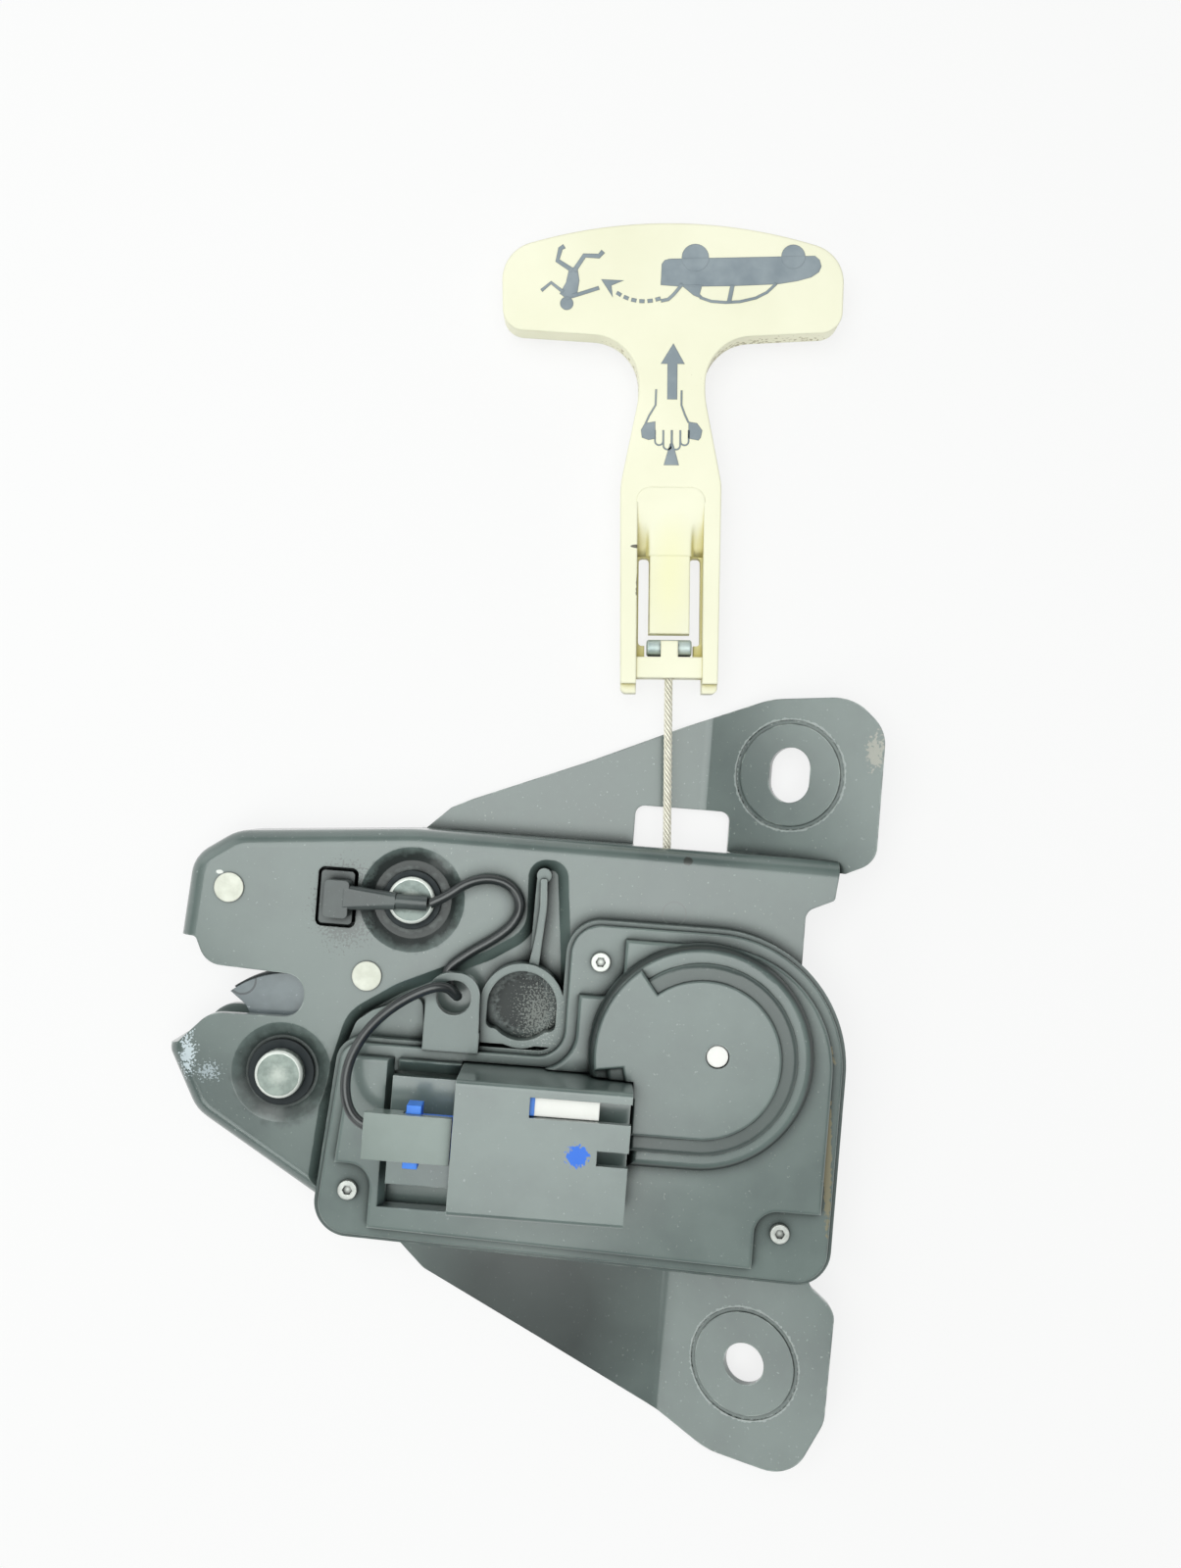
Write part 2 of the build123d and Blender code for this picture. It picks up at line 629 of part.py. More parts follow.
release_cable.part.label = "release_cable"
export_step(release_cable.part, "parts/release_cable.step")

with BuildPart() as cable_nipple:
    with BuildSketch(cable_plane):
        Circle(nipple_r)
    extrude(amount=-nipple_length)
    chamfer(cable_nipple.edges().filter_by(GeomType.CIRCLE), nipple_bevel)

cable_nipple.part.label = "cable_nipple"
export_step(cable_nipple.part, "parts/cable_nipple.step")

handle_plane = Plane(origin=pin_centre, x_dir=(pull_y, -pull_x, 0), z_dir=(0, 0, 1))
across_plane = Plane(origin=pin_centre, x_dir=(0, 0, 1), z_dir=(pull_y, -pull_x, 0))
with BuildPart() as handle_pin:
    with BuildSketch(across_plane):
        Circle(pin_r)
        Circle(cable_r, mode=Mode.SUBTRACT)
    extrude(amount=pin_length / 2, both=True)
    chamfer(handle_pin.edges().filter_by(GeomType.CIRCLE).group_by(SortBy.RADIUS)[-1], 0.3)

handle_pin.part.label = "handle_pin"
export_step(handle_pin.part, "parts/handle_pin.step")

# Emergency handle: T grip on a neck, and a forked shank round the barrel
grip_half = 35.3
neck_half = 6.9
shank_half = 10.1
shank_wall = 3.2
foot_y = -9.6
foot_step_y, foot_drop = -7.6, 1.4
bar_low_y, bar_high_y = -6.4, -(pin_r + 0.25)
bar_drop = 0.3
bar_tab_half, bar_tab_y = 1.8, 1.4
channel_top_y = 33.0
channel_z = 1.0         # floor of the channel below the top face's mid-plane
tongue_half = 4.2
tongue_top_y, tongue_low_y = 19.0, 2.9
with BuildPart() as emergency_handle:
    with BuildSketch(handle_plane.offset(-handle_t / 2)) as handle_shape:
        with BuildLine():
            ThreePointArc((-grip_half - 0.4, 82.0), (0, 88.3), (grip_half + 0.4, 82.0))
            FilletPolyline(
                (grip_half + 0.4, 82.0), (grip_half, 66.0), (neck_half, 64.4), (neck_half, 52.0),
                (shank_half + 0.4, 34.0), (shank_half, foot_y), (-shank_half, foot_y),
                (-shank_half - 0.4, 34.0), (-neck_half, 52.0), (-neck_half, 64.4),
                (-grip_half, 66.0), (-grip_half - 0.4, 82.0),
                radius=[4.5, 10, 20, 12, 1.2, 1.2, 12, 20, 10, 4.5],
            )
        make_face()
        fillet(handle_shape.vertices().group_by(Axis.Y)[-1], 8)
    extrude(amount=handle_t)
    # channel, open at the foot
    with BuildSketch(handle_plane.offset(channel_z - handle_t / 2 + 1.4)):
        with Locations((0, (channel_top_y + foot_y - 8) / 2)):
            RectangleRounded(2 * (shank_half - shank_wall), channel_top_y - foot_y + 8, 3)
    extrude(amount=handle_t, mode=Mode.SUBTRACT)
    # slits beside the tongue and the pocket for the barrel
    with BuildSketch(handle_plane.offset(-handle_t)):
        for side in (-1, 1):
            with Locations((side * (tongue_half + 1.2), (tongue_top_y + 0.5) / 2)):
                RectangleRounded(2.2, tongue_top_y - 0.5, 0.8)
        with Locations((0, (tongue_low_y - pin_r - 0.25) / 2)):
            Rectangle(pin_length + 0.9, tongue_low_y + pin_r + 0.25)
        with Locations((0, (bar_low_y + foot_y - 8) / 2)):
            Rectangle(2 * (shank_half - shank_wall), bar_low_y - foot_y + 8)
    extrude(amount=handle_t * 2, mode=Mode.SUBTRACT)
    # tongue stands up in the channel
    with BuildSketch(handle_plane.offset(-handle_t / 2)):
        with Locations((0, (tongue_top_y + 8 + tongue_low_y) / 2)):
            Rectangle(2 * tongue_half, tongue_top_y + 8 - tongue_low_y)
    extrude(amount=handle_t - 1.2)
    # crossbar below the barrel, with the hole that the cable runs through
    with BuildSketch(handle_plane.offset(-handle_t / 2)):
        with Locations((0, (bar_low_y + bar_high_y) / 2)):
            Rectangle(2 * (shank_half - shank_wall) + 1, bar_high_y - bar_low_y)
    extrude(amount=handle_t - bar_drop)
    # tab of the crossbar over the barrel's middle
    with BuildSketch(handle_plane.offset(pin_r + shank_gap)):
        with Locations((0, (bar_low_y + bar_tab_y) / 2)):
            Rectangle(2 * bar_tab_half, bar_tab_y - bar_low_y)
    extrude(amount=handle_t / 2 - bar_drop - pin_r - shank_gap)
    # the two feet end lower than the rails
    with BuildSketch(handle_plane.offset(handle_t / 2 - foot_drop)):
        with Locations((0, (foot_step_y + foot_y - 8) / 2)):
            Rectangle(3 * shank_half, foot_step_y - foot_y + 8)
    extrude(amount=handle_t, mode=Mode.SUBTRACT)
    with BuildSketch(Plane(origin=pin_centre, x_dir=(0, 0, 1), z_dir=(pull_x, pull_y, 0))):
        Circle(cable_r + 0.3)
    extrude(amount=-14, mode=Mode.SUBTRACT)

emergency_handle.part.label = "emergency_handle"
export_step(emergency_handle.part, "parts/emergency_handle.step")

# Actuator base: tray with the lug, the round well and the finger
housing_outline = [
    (-91.2, 24.2), (13.8, 21.0), (14.2, 91.4), (-43.9, 91.3), (-43.9, 64.2), (-88.0, 64.2),
]
housing_outline_r = [7, 7, 27.5, 7, 4.5, 5]
floor_z = base_z + base_floor_t
valley_z = base_z - valley_depth
tub_floor_z = motor_z - motor_height / 2 - seat_gap
bearing_x = gear_x + worm_length / 2 + 1.1
with BuildPart() as actuator_base:
    with BuildSketch(Plane.XY.offset(base_z)):
        with BuildLine():
            FilletPolyline(*housing_outline, radius=housing_outline_r, close=True)
        make_face()
    extrude(amount=base_floor_t)
    # ledge in the valley
    with BuildSketch(Plane.XY.offset(valley_z)):
        with BuildLine():
            FilletPolyline(
                (-87.0, 62), (-85.4, 66.8), (-82.4, 69.2), (-72.4, 73.4), (-71.2, 62),
                radius=[0, 3, 3, 2, 0], close=True,
            )
        make_face()
    extrude(amount=floor_z - valley_z)
    with BuildSketch(Plane.XY.offset(floor_z)):
        with BuildLine():
            FilletPolyline(*housing_outline, radius=housing_outline_r, close=True)
        make_face()
    extrude(amount=rim_z - floor_z)
    with BuildSketch(Plane.XY.offset(floor_z)):
        with BuildLine():
            FilletPolyline(*housing_outline, radius=housing_outline_r, close=True)
        make_face()
        offset(amount=-wall_t)
    extrude(amount=20, mode=Mode.SUBTRACT)
    # screw posts
    with BuildSketch(Plane.XY.offset(floor_z)):
        with Locations(*screw_places):
            Circle(post_r)
    extrude(amount=rim_z - floor_z)
    # tub for the motor, through the plate
    with BuildSketch(Plane.XY.offset(tub_floor_z - base_floor_t)):
        with Locations(((tub_left_x + tub_right_x) / 2, worm_y)):
            RectangleRounded(tub_right_x - tub_left_x, 2 * tub_half_y, 1.6)
    extrude(amount=floor_z - tub_floor_z + base_floor_t)
    with BuildSketch(Plane.XY.offset(tub_floor_z)):
        with Locations(((tub_left_x + tub_right_x) / 2, worm_y)):
            Rectangle(tub_right_x - tub_left_x - 2 * base_floor_t, 2 * (tub_half_y - base_floor_t))
    extrude(amount=20, mode=Mode.SUBTRACT)
    # boss that carries the gear, and the worm's end bearing
    with BuildSketch(Plane.XY.offset(base_z)):
        with Locations((gear_x, gear_y)):
            Circle(gear_boss_r)
    extrude(amount=gear_low_z - thin_gap - base_z)
    with BuildSketch(Plane(origin=(bearing_x, worm_y, motor_z), x_dir=(0, 1, 0), z_dir=(1, 0, 0))):
        Circle(bearing_r)
        with Locations((0, (floor_z - motor_z) / 2)):
            Rectangle(2 * bearing_r, motor_z - floor_z)
        Circle(shaft_r + running_gap, mode=Mode.SUBTRACT)
    extrude(amount=bearing_length)
    # slot for the lever's tall tab
    with BuildSketch(Plane.XY.offset(base_z - 1)):
        with Locations((lever_slot_x, lever_slot_y)):
            RectangleRounded(lever_slot_width, lever_slot_height, 2)
    extrude(amount=base_floor_t + 1, mode=Mode.SUBTRACT)
    # lug that the lead passes through
    with BuildSketch(Plane.XY.offset(lug_low_z)):
        with BuildLine():
            FilletPolyline(
                (lug_x - 5.6, 63), (lug_x - 5.6, lug_y + 5), (lug_x + 5.0, lug_y + 5), (lug_x + 5.6, 63),
                radius=[0, 5, 4.6, 0], close=True,
            )
        make_face()
        with Locations((lug_x, lug_y)):
            Circle(lug_hole_r, mode=Mode.SUBTRACT)
    extrude(amount=lug_high_z - lug_low_z)
    with BuildSketch(Plane.XY.offset(floor_z)):
        with Locations((lug_x, 65.4)):
            Rectangle(11.2, 3.4)
    extrude(amount=lug_high_z - floor_z)
    # the well, round at its far end and square at its near one
    with BuildSketch(Plane.XY.offset(valley_z)):
        with Locations((well_x, well_y)):
            Circle(well_r + well_wall)
        with Locations((well_x, (well_y + well_low_y) / 2 - well_wall)):
            Rectangle(2 * (well_r + well_wall), well_y - well_low_y + 2 * well_wall)
    extrude(amount=well_top_z - valley_z)
    with BuildSketch(Plane.XY.offset(base_z)) as well_shape:
        with Locations((well_x, well_y)):
            Circle(well_r)
        with Locations((well_x, (well_y + well_low_y) / 2)):
            Rectangle(2 * well_r, well_y - well_low_y)
        fillet(well_shape.vertices().group_by(Axis.Y)[0], 1.4)
    extrude(amount=20, mode=Mode.SUBTRACT)
    # finger, a thin rib with a lower one beside it and a round end
    with BuildSketch(Plane.XY.offset(valley_z)):
        with BuildLine():
            FilletPolyline(
                (-51.6, 79), (-50.4, 87.0), (-49.9, 93.0), (-50.2, 98.6), (-48.9, 98.6), (-48.5, 93.0),
                (-48.9, 87.0), (-49.4, 79), radius=[0, 16, 16, 0.4, 0.4, 16, 16, 0], close=True,
            )
        make_face()
    extrude(amount=finger_z - valley_z)
    with BuildSketch(Plane.XY.offset(valley_z)):
        with BuildLine():
            FilletPolyline(
                (-51.2, 84), (-51.0, 98.6), (-49.8, 98.6), (-49.8, 84),
                radius=[0, 0.4, 0.4, 0], close=True,
            )
        make_face()
        with Locations((-49.6, 99.2)):
            Circle(1.5)
    extrude(amount=finger_z - valley_z - 1.2)
    # screw holes
    with BuildSketch(Plane.XY.offset(rim_z)):
        with Locations(*screw_places):
            Circle(screw_shank_r + shank_gap)
    extrude(amount=base_z + screw_grip - seat_gap - rim_z, mode=Mode.SUBTRACT)

actuator_base.part.label = "actuator_base"
export_step(actuator_base.part, "parts/actuator_base.step")

# Actuator cover: flange, raised part with three open pockets, and the stepped drum
drum_x, drum_y = gear_x + drum_dx, gear_y + drum_dy
worm_crown_r = worm_pitch_r + gear_addendum
worm_reach_x = worm_length / 2 - drum_dx
drum_r = sqrt((drum_y - worm_y + worm_crown_r) ** 2 + worm_reach_x ** 2) + drum_gap + drum_wall
opening_right_x = shroud_right_x + seat_gap
opening_high_y = shroud_high_y + seat_gap


def pocket_outline(place, reach, grow):
    """Corners of a screw's pocket, from its inner corner out past the cover's edge."""
    side_x, side_y = copysign(1, reach[0]), copysign(1, reach[1])
    near_x, near_y = place[0] + reach[0] + grow * side_x, place[1] + reach[1] + grow * side_y
    far_x, far_y = near_x - side_x * 8 * pocket_r, near_y - side_y * 8 * pocket_r
    return [(near_x, near_y), (near_x, far_y), (far_x, far_y), (far_x, near_y)]


with BuildPart() as actuator_cover:
    with BuildSketch(Plane.XY.offset(rim_z)):
        with BuildLine():
            FilletPolyline(*housing_outline, radius=housing_outline_r, close=True)
        make_face()
        offset(amount=-lip_width)
    extrude(amount=flange_z - rim_z)
    fillet(actuator_cover.faces().sort_by(Axis.Z)[-1].edges(), 0.4)
    with BuildSketch(Plane.XY.offset(rim_z)):
        with BuildLine():
            FilletPolyline(*housing_outline, radius=housing_outline_r, close=True)
        make_face()
        offset(amount=-block_inset)
        for place, reach in zip(screw_places, pocket_reaches):
            with BuildLine():
                FilletPolyline(*pocket_outline(place, reach, 0), radius=[pocket_r, 0, 0, 0], close=True)
            make_face(mode=Mode.SUBTRACT)
    extrude(amount=cover_z - rim_z)
    fillet(actuator_cover.faces().sort_by(Axis.Z)[-1].edges(), 0.7)
    # three steps of the drum, each squared off towards the connector
    for step, top_z, edge_r in (
        (0, drum_z, 1.8), (shoulder_step, drum_shoulder_z, 0.9), (face_step, drum_face_z, 0.6),
    ):
        with BuildSketch(Plane.XY.offset(cover_z - wall_t)):
            with Locations((drum_x, drum_y)):
                Circle(drum_r - step)
            with Locations(((drum_x + opening_right_x) / 2, drum_y - (drum_r - step) / 2)):
                Rectangle(drum_x - opening_right_x, drum_r - step)
            if step == face_step:
                with BuildLine():
                    face_left = CenterArc((drum_x, drum_y), drum_r - 1.0, 128, 62)
                    Line(face_left @ 1, (drum_x, drum_y))
                    Line((drum_x, drum_y), face_left @ 0)
                make_face()
        extrude(amount=top_z - cover_z + wall_t)
        fillet(actuator_cover.faces().sort_by(Axis.Z)[-1].edges(), edge_r)
    # room for the connector beside the drum
    with BuildSketch(Plane.XY.offset(cover_z)):
        with Locations(((case_left_x + opening_right_x) / 2, (bottom_wall_y + opening_high_y) / 2)):
            Rectangle(opening_right_x - case_left_x, opening_high_y - bottom_wall_y)
    extrude(amount=drum_face_z, mode=Mode.SUBTRACT)
    # hollow inside, with a solid frame round the connector's opening
    with BuildSketch(Plane.XY.offset(rim_z)):
        with BuildLine():
            FilletPolyline(*housing_outline, radius=housing_outline_r, close=True)
        make_face()
        offset(amount=-(block_inset + wall_t))
        for place, reach in zip(screw_places, pocket_reaches):
            with BuildLine():
                FilletPolyline(*pocket_outline(place, reach, wall_t), radius=[pocket_r, 0, 0, 0], close=True)
            make_face(mode=Mode.SUBTRACT)
        with Locations(((case_left_x + opening_right_x) / 2, (bottom_wall_y + opening_high_y) / 2)):
            Rectangle(
                opening_right_x - case_left_x + 2 * drum_wall,
                opening_high_y - bottom_wall_y + 2 * recess_slope, mode=Mode.SUBTRACT,
            )
    extrude(amount=cover_z - wall_t - rim_z, mode=Mode.SUBTRACT)
    with BuildSketch(Plane.XY.offset(rim_z)):
        with Locations((drum_x, drum_y)):
            Circle(drum_r - drum_wall)
        with Locations(((drum_x + opening_right_x) / 2, drum_y - (drum_r - drum_wall) / 2)):
            Rectangle(drum_x - opening_right_x, drum_r - drum_wall)
        beside_x = (case_left_x + opening_right_x) / 2 + drum_wall
        with Locations((beside_x, opening_high_y + drum_wall - drum_r)):
            Rectangle(opening_right_x - case_left_x, 2 * drum_r, mode=Mode.SUBTRACT)
    extrude(amount=drum_z - drum_wall - rim_z, mode=Mode.SUBTRACT)
    # opening that the connector stands in, with its sloping upper and left sides
    box_left_x = shroud_left_x - seat_gap
    slope_high_y = recess_high_y + recess_slope
    with BuildSketch(Plane.XY.offset(rim_z - 1)):
        with Locations(((recess_left_x + opening_right_x) / 2, (recess_low_y + recess_high_y) / 2)):
            Rectangle(opening_right_x - recess_left_x, recess_high_y - recess_low_y)
        with Locations(((box_left_x + opening_right_x) / 2, (recess_low_y + opening_high_y) / 2)):
            Rectangle(opening_right_x - box_left_x, opening_high_y - recess_low_y)
    extrude(amount=cover_z, mode=Mode.SUBTRACT)
    with BuildSketch(Plane(origin=(box_left_x, 0, 0), x_dir=(0, 1, 0), z_dir=(1, 0, 0))):
        with BuildLine():
            Polyline(
                (recess_high_y - 1, flange_z), (recess_high_y, flange_z), (slope_high_y, cover_z),
                (slope_high_y, cover_z + 1), (recess_high_y - 1, cover_z + 1), close=True,
            )
        make_face()
    extrude(amount=recess_left_x - box_left_x, mode=Mode.SUBTRACT)
    with BuildSketch(Plane(origin=(0, recess_low_y, 0), x_dir=(1, 0, 0), z_dir=(0, -1, 0))):
        with BuildLine():
            Polyline(
                (recess_left_x + 1, flange_z), (recess_left_x, flange_z), (recess_left_x - 1.2, cover_z),
                (recess_left_x - 1.2, cover_z + 1), (recess_left_x + 1, cover_z + 1), close=True,
            )
        make_face()
    extrude(amount=recess_low_y - slope_high_y, mode=Mode.SUBTRACT)
    # channel for the motor's shaft, which is laid in from below
    with BuildSketch(Plane(origin=(opening_right_x - 1, worm_y, motor_z), x_dir=(0, 1, 0), z_dir=(1, 0, 0))):
        Circle(shaft_r + seat_gap)
        with Locations((0, rim_z - motor_z)):
            Rectangle(2 * (shaft_r + seat_gap), 2 * (motor_z - rim_z))
    extrude(amount=8, mode=Mode.SUBTRACT)
    # holes for the screws and for the gear's hub
    with BuildSketch(Plane.XY.offset(rim_z - 1)):
        with Locations(*screw_places):
            Circle(screw_shank_r + shank_gap)
        with Locations((gear_x, gear_y)):
            Circle(gear_hole_r)
    extrude(amount=drum_face_z, mode=Mode.SUBTRACT)

actuator_cover.part.label = "actuator_cover"
export_step(actuator_cover.part, "parts/actuator_cover.step")

# Cover screws
with BuildPart() as cover_screws:
    for x, y in screw_places:
        with BuildSketch(Plane.XY.offset(flange_z)):
            with Locations((x, y)):
                Circle(screw_shank_r)
        extrude(amount=base_z + screw_grip - flange_z)
        with BuildSketch(Plane.XY.offset(flange_z)):
            with Locations((x, y)):
                Circle(screw_head_r)
        extrude(amount=screw_head_t)
        with BuildSketch(Plane.XY.offset(flange_z + screw_head_t)):
            with Locations((x, y)):
                RegularPolygon(screw_socket_r, 6)
        extrude(amount=-screw_socket_depth, mode=Mode.SUBTRACT)

cover_screws.part.label = "cover_screws"
export_step(cover_screws.part, "parts/cover_screws.step")

# Motor: flat-sided can lying in the tub
with BuildPart() as motor:
    with BuildSketch(Plane(origin=(motor_right_x, worm_y, motor_z), x_dir=(0, 1, 0), z_dir=(1, 0, 0))):
        Circle(motor_width / 2)
        Rectangle(motor_width, motor_height, mode=Mode.INTERSECT)
    extrude(amount=-motor_length)
    fillet(motor.edges().filter_by(GeomType.LINE, reverse=False).filter_by(Axis.X), 0.6)
    with BuildSketch(Plane(origin=(motor_right_x, worm_y, motor_z), x_dir=(0, 1, 0), z_dir=(1, 0, 0))):
        Circle(2.6)
    extrude(amount=1.2)
    with BuildSketch(Plane(origin=(motor_right_x + 2, worm_y, motor_z), x_dir=(0, 1, 0), z_dir=(1, 0, 0))):
        Circle(shaft_r + running_gap)
    extrude(amount=-8, mode=Mode.SUBTRACT)

motor.part.label = "motor"
export_step(motor.part, "parts/motor.step")

# Motor shaft
shaft_start_x = motor_right_x - 5
shaft_end_x = bearing_x + bearing_length
with BuildPart() as motor_shaft:
    with BuildSketch(Plane(origin=(shaft_start_x, worm_y, motor_z), x_dir=(0, 1, 0), z_dir=(1, 0, 0))):
        Circle(shaft_r)
    extrude(amount=shaft_end_x - shaft_start_x)

motor_shaft.part.label = "motor_shaft"
export_step(motor_shaft.part, "parts/motor_shaft.step")

# Worm: one start, pressed on the shaft
pitch = pi * gear_module
worm_root_r = worm_pitch_r - gear_dedendum
thread_root_half = pitch * 0.27
thread_crown_half = pitch * 0.12
worm_start_x = gear_x - worm_length / 2
with BuildPart() as worm:
    with BuildSketch(Plane(origin=(worm_start_x, worm_y, motor_z), x_dir=(0, 1, 0), z_dir=(1, 0, 0))):
        Circle(worm_root_r)
        Circle(shaft_r, mode=Mode.SUBTRACT)
    extrude(amount=worm_length)
    with BuildLine() as worm_line:
        Helix(
            pitch=pitch, height=pitch * worm_turns, radius=worm_pitch_r,
            center=(gear_x - pitch * worm_lead_in, worm_y, motor_z), direction=(1, 0, 0),
        )
    with BuildSketch(Plane(origin=worm_line.line @ 0, x_dir=(1, 0, 0), z_dir=worm_line.line % 0)):
        with BuildLine():
            Polyline(
                (-thread_root_half, worm_root_r - worm_pitch_r - 0.15),
                (-thread_crown_half, worm_crown_r - worm_pitch_r),
                (thread_crown_half, worm_crown_r - worm_pitch_r),
                (thread_root_half, worm_root_r - worm_pitch_r - 0.15), close=True,
            )
        make_face()
    sweep(is_frenet=True)

worm.part.label = "worm"
export_step(worm.part, "parts/worm.step")

# Drive gear: white acetal, with its hub through the drum and the cam below
gear_root_r = gear_r - gear_dedendum
gear_crown_r = gear_r + gear_addendum
with BuildPart() as drive_gear:
    with BuildSketch(Plane.XY.offset(gear_low_z)):
        with Locations((gear_x, gear_y)):
            Circle(gear_root_r)
    extrude(amount=gear_top_z - gear_low_z)
    with BuildSketch(Plane.XY.offset(gear_low_z)):
        for number in range(gear_teeth):
            angle = -90 + (number + 0.5) * 360 / gear_teeth
            half_root = 360 / gear_teeth * 0.25
            half_crown = 360 / gear_teeth * 0.12
            with BuildLine():
                Polyline(
                    polar(gear_x, gear_y, gear_root_r - 0.3, angle - half_root),
                    polar(gear_x, gear_y, gear_crown_r, angle - half_crown),
                    polar(gear_x, gear_y, gear_crown_r, angle + half_crown),
                    polar(gear_x, gear_y, gear_root_r - 0.3, angle + half_root), close=True,
                )
            make_face()
    extrude(amount=gear_top_z - gear_low_z)
    with BuildSketch(Plane.XY.offset(gear_top_z)):
        with Locations((gear_x, gear_y)):
            Circle(4.0)
    extrude(amount=drum_z - drum_wall - thin_gap - gear_top_z)
    with BuildSketch(Plane.XY.offset(gear_top_z)):
        with Locations((gear_x, gear_y)):
            Circle(gear_hub_r)
    extrude(amount=drum_face_z - 0.4 - gear_top_z)
    # cam that lifts the lever's tall tab
    with BuildSketch(Plane.XY.offset(floor_z + 0.4)):
        with BuildLine():
            outer = CenterArc((gear_x, gear_y), 18.0, 190, 18)
            inner = CenterArc((gear_x, gear_y), 7.0, 180, 40)
            Line(outer @ 0, inner @ 0)
            Line(outer @ 1, inner @ 1)
        make_face()
    extrude(amount=gear_low_z - floor_z - 0.4)

drive_gear.part.label = "drive_gear"
export_step(drive_gear.part, "parts/drive_gear.step")

# Connector shroud: box that opens to the right, standing in the cover's opening on the base
shroud_x, shroud_y = (shroud_left_x + shroud_right_x) / 2, (shroud_low_y + shroud_high_y) / 2
shroud_length, shroud_width = shroud_right_x - shroud_left_x, shroud_high_y - shroud_low_y
socket_top_z = shroud_z - shroud_wall
socket_width = shroud_width - 2 * shroud_wall
with BuildPart() as connector_shroud:
    with BuildSketch(Plane.XY.offset(floor_z)):
        with Locations((shroud_x, shroud_y)):
            Rectangle(shroud_length, shroud_width)
    extrude(amount=shroud_z - floor_z)
    fillet(connector_shroud.faces().sort_by(Axis.Z)[-1].edges().filter_by(Axis.X), 1.0)
    # space over the motor
    with BuildSketch(Plane.XY.offset(floor_z - 1)):
        with Locations((shroud_x, shroud_y)):
            Rectangle(shroud_length - 2 * shroud_wall, shroud_width - 2 * shroud_wall)
    extrude(amount=socket_floor_z - socket_floor_t - floor_z + 1, mode=Mode.SUBTRACT)
    # room for the motor's shaft and the gear's cam
    with BuildSketch(Plane.XY.offset(floor_z - 1)):
        with Locations((shroud_right_x, shroud_y)):
            Rectangle(2 * (shroud_right_x - motor_right_x), shroud_width + 2)
    extrude(amount=cover_z + seat_gap - floor_z + 1, mode=Mode.SUBTRACT)
    # socket
    with BuildSketch(Plane(origin=(shroud_right_x, 0, 0), x_dir=(0, 1, 0), z_dir=(1, 0, 0))):
        with Locations((shroud_y, (socket_floor_z + socket_top_z) / 2)):
            RectangleRounded(socket_width, socket_top_z - socket_floor_z, socket_corner_r)
    extrude(amount=-shroud_length - 1, mode=Mode.SUBTRACT)
    # shelf behind it
    tray_low_y, tray_high_y = shroud_low_y + shroud_wall, recess_high_y - seat_gap
    with BuildSketch(Plane.XY.offset(tray_z)):
        with Locations(((recess_left_x + seat_gap + shroud_left_x) / 2, (tray_low_y + tray_high_y) / 2)):
            Rectangle(shroud_left_x - recess_left_x - seat_gap, tray_high_y - tray_low_y)
    extrude(amount=-tray_t)
    # slot in the roof, open at the mouth, and the catch's notch
    with BuildSketch(Plane.XY.offset(shroud_z + 1)):
        with Locations(((roof_slot_x + shroud_right_x) / 2, roof_slot_y)):
            Rectangle(shroud_right_x - roof_slot_x, roof_slot_width)
        with Locations((shroud_right_x - catch_length / 2, catch_y)):
            Rectangle(catch_length, catch_width)
    extrude(amount=-(shroud_wall + 1.2), mode=Mode.SUBTRACT)

connector_shroud.part.label = "connector_shroud"
export_step(connector_shroud.part, "parts/connector_shroud.step")

# Terminal carrier (blue), terminal lock (white) and the terminals
carrier_gap = 0.1
carrier_side_gap = 0.9
carrier_low_z = socket_floor_z + carrier_gap
carrier_high_z = socket_top_z - carrier_gap
carrier_z = (carrier_low_z + carrier_high_z) / 2
terminal_pitch, terminal_count = 4.0, 5
terminal_rows = [(number - (terminal_count - 1) / 2) * terminal_pitch for number in range(terminal_count)]
terminal_width, terminal_t, terminal_length = 1.5, 0.8, 19.0
terminal_back = 10.0
carrier_left_x = -72.4
lock_t = 2.0
lock_left_x, lock_right_x = roof_slot_x + 0.9, -35.2
lock_width = 3.7
plug_left_x = -79.6
plug_low_y, plug_high_y = 44.4, 53.3
plug_y = (plug_low_y + plug_high_y) / 2
plug_z = 28.6
plug_t = 1.6
plug_block_x = plug_left_x + 0.8
plug_block_t = 5.4
plug_block_inset = 0.8
plug_block_y = plug_high_y - plug_low_y - 2 * plug_block_inset
ear_x, ear_length, ear_reach = -70.4, 2.8, 1.6
with BuildPart() as terminal_carrier:
    with BuildSketch(Plane(origin=(socket_back_x, shroud_y, 0), x_dir=(0, 1, 0), z_dir=(1, 0, 0))):
        with Locations((0, carrier_z)):
            Rectangle(socket_width - 2 * carrier_side_gap, carrier_high_z - carrier_low_z)
        with Locations(*[(y, carrier_z) for y in terminal_rows]):
            Rectangle(terminal_width + carrier_gap, terminal_t + carrier_gap, mode=Mode.SUBTRACT)
    extrude(amount=-(socket_back_x - shroud_left_x))
    # tail that the lead's plug sits on, with an ear at each side
    with BuildSketch(Plane.XY.offset(carrier_low_z)):
        with Locations(((carrier_left_x + shroud_left_x) / 2, plug_y)):
            Rectangle(shroud_left_x - carrier_left_x, plug_block_y)
        with Locations((ear_x, plug_y)):
            Rectangle(ear_length, plug_high_y - plug_low_y + 2 * ear_reach)
    extrude(amount=plug_z - plug_t - carrier_low_z)
    # strip under the roof's slot, behind the lock
    with BuildSketch(Plane.XY.offset(carrier_high_z)):
        with Locations(((socket_back_x + lock_left_x) / 2, roof_slot_y)):
            Rectangle(lock_left_x - socket_back_x, lock_width)
    extrude(amount=-lock_t)

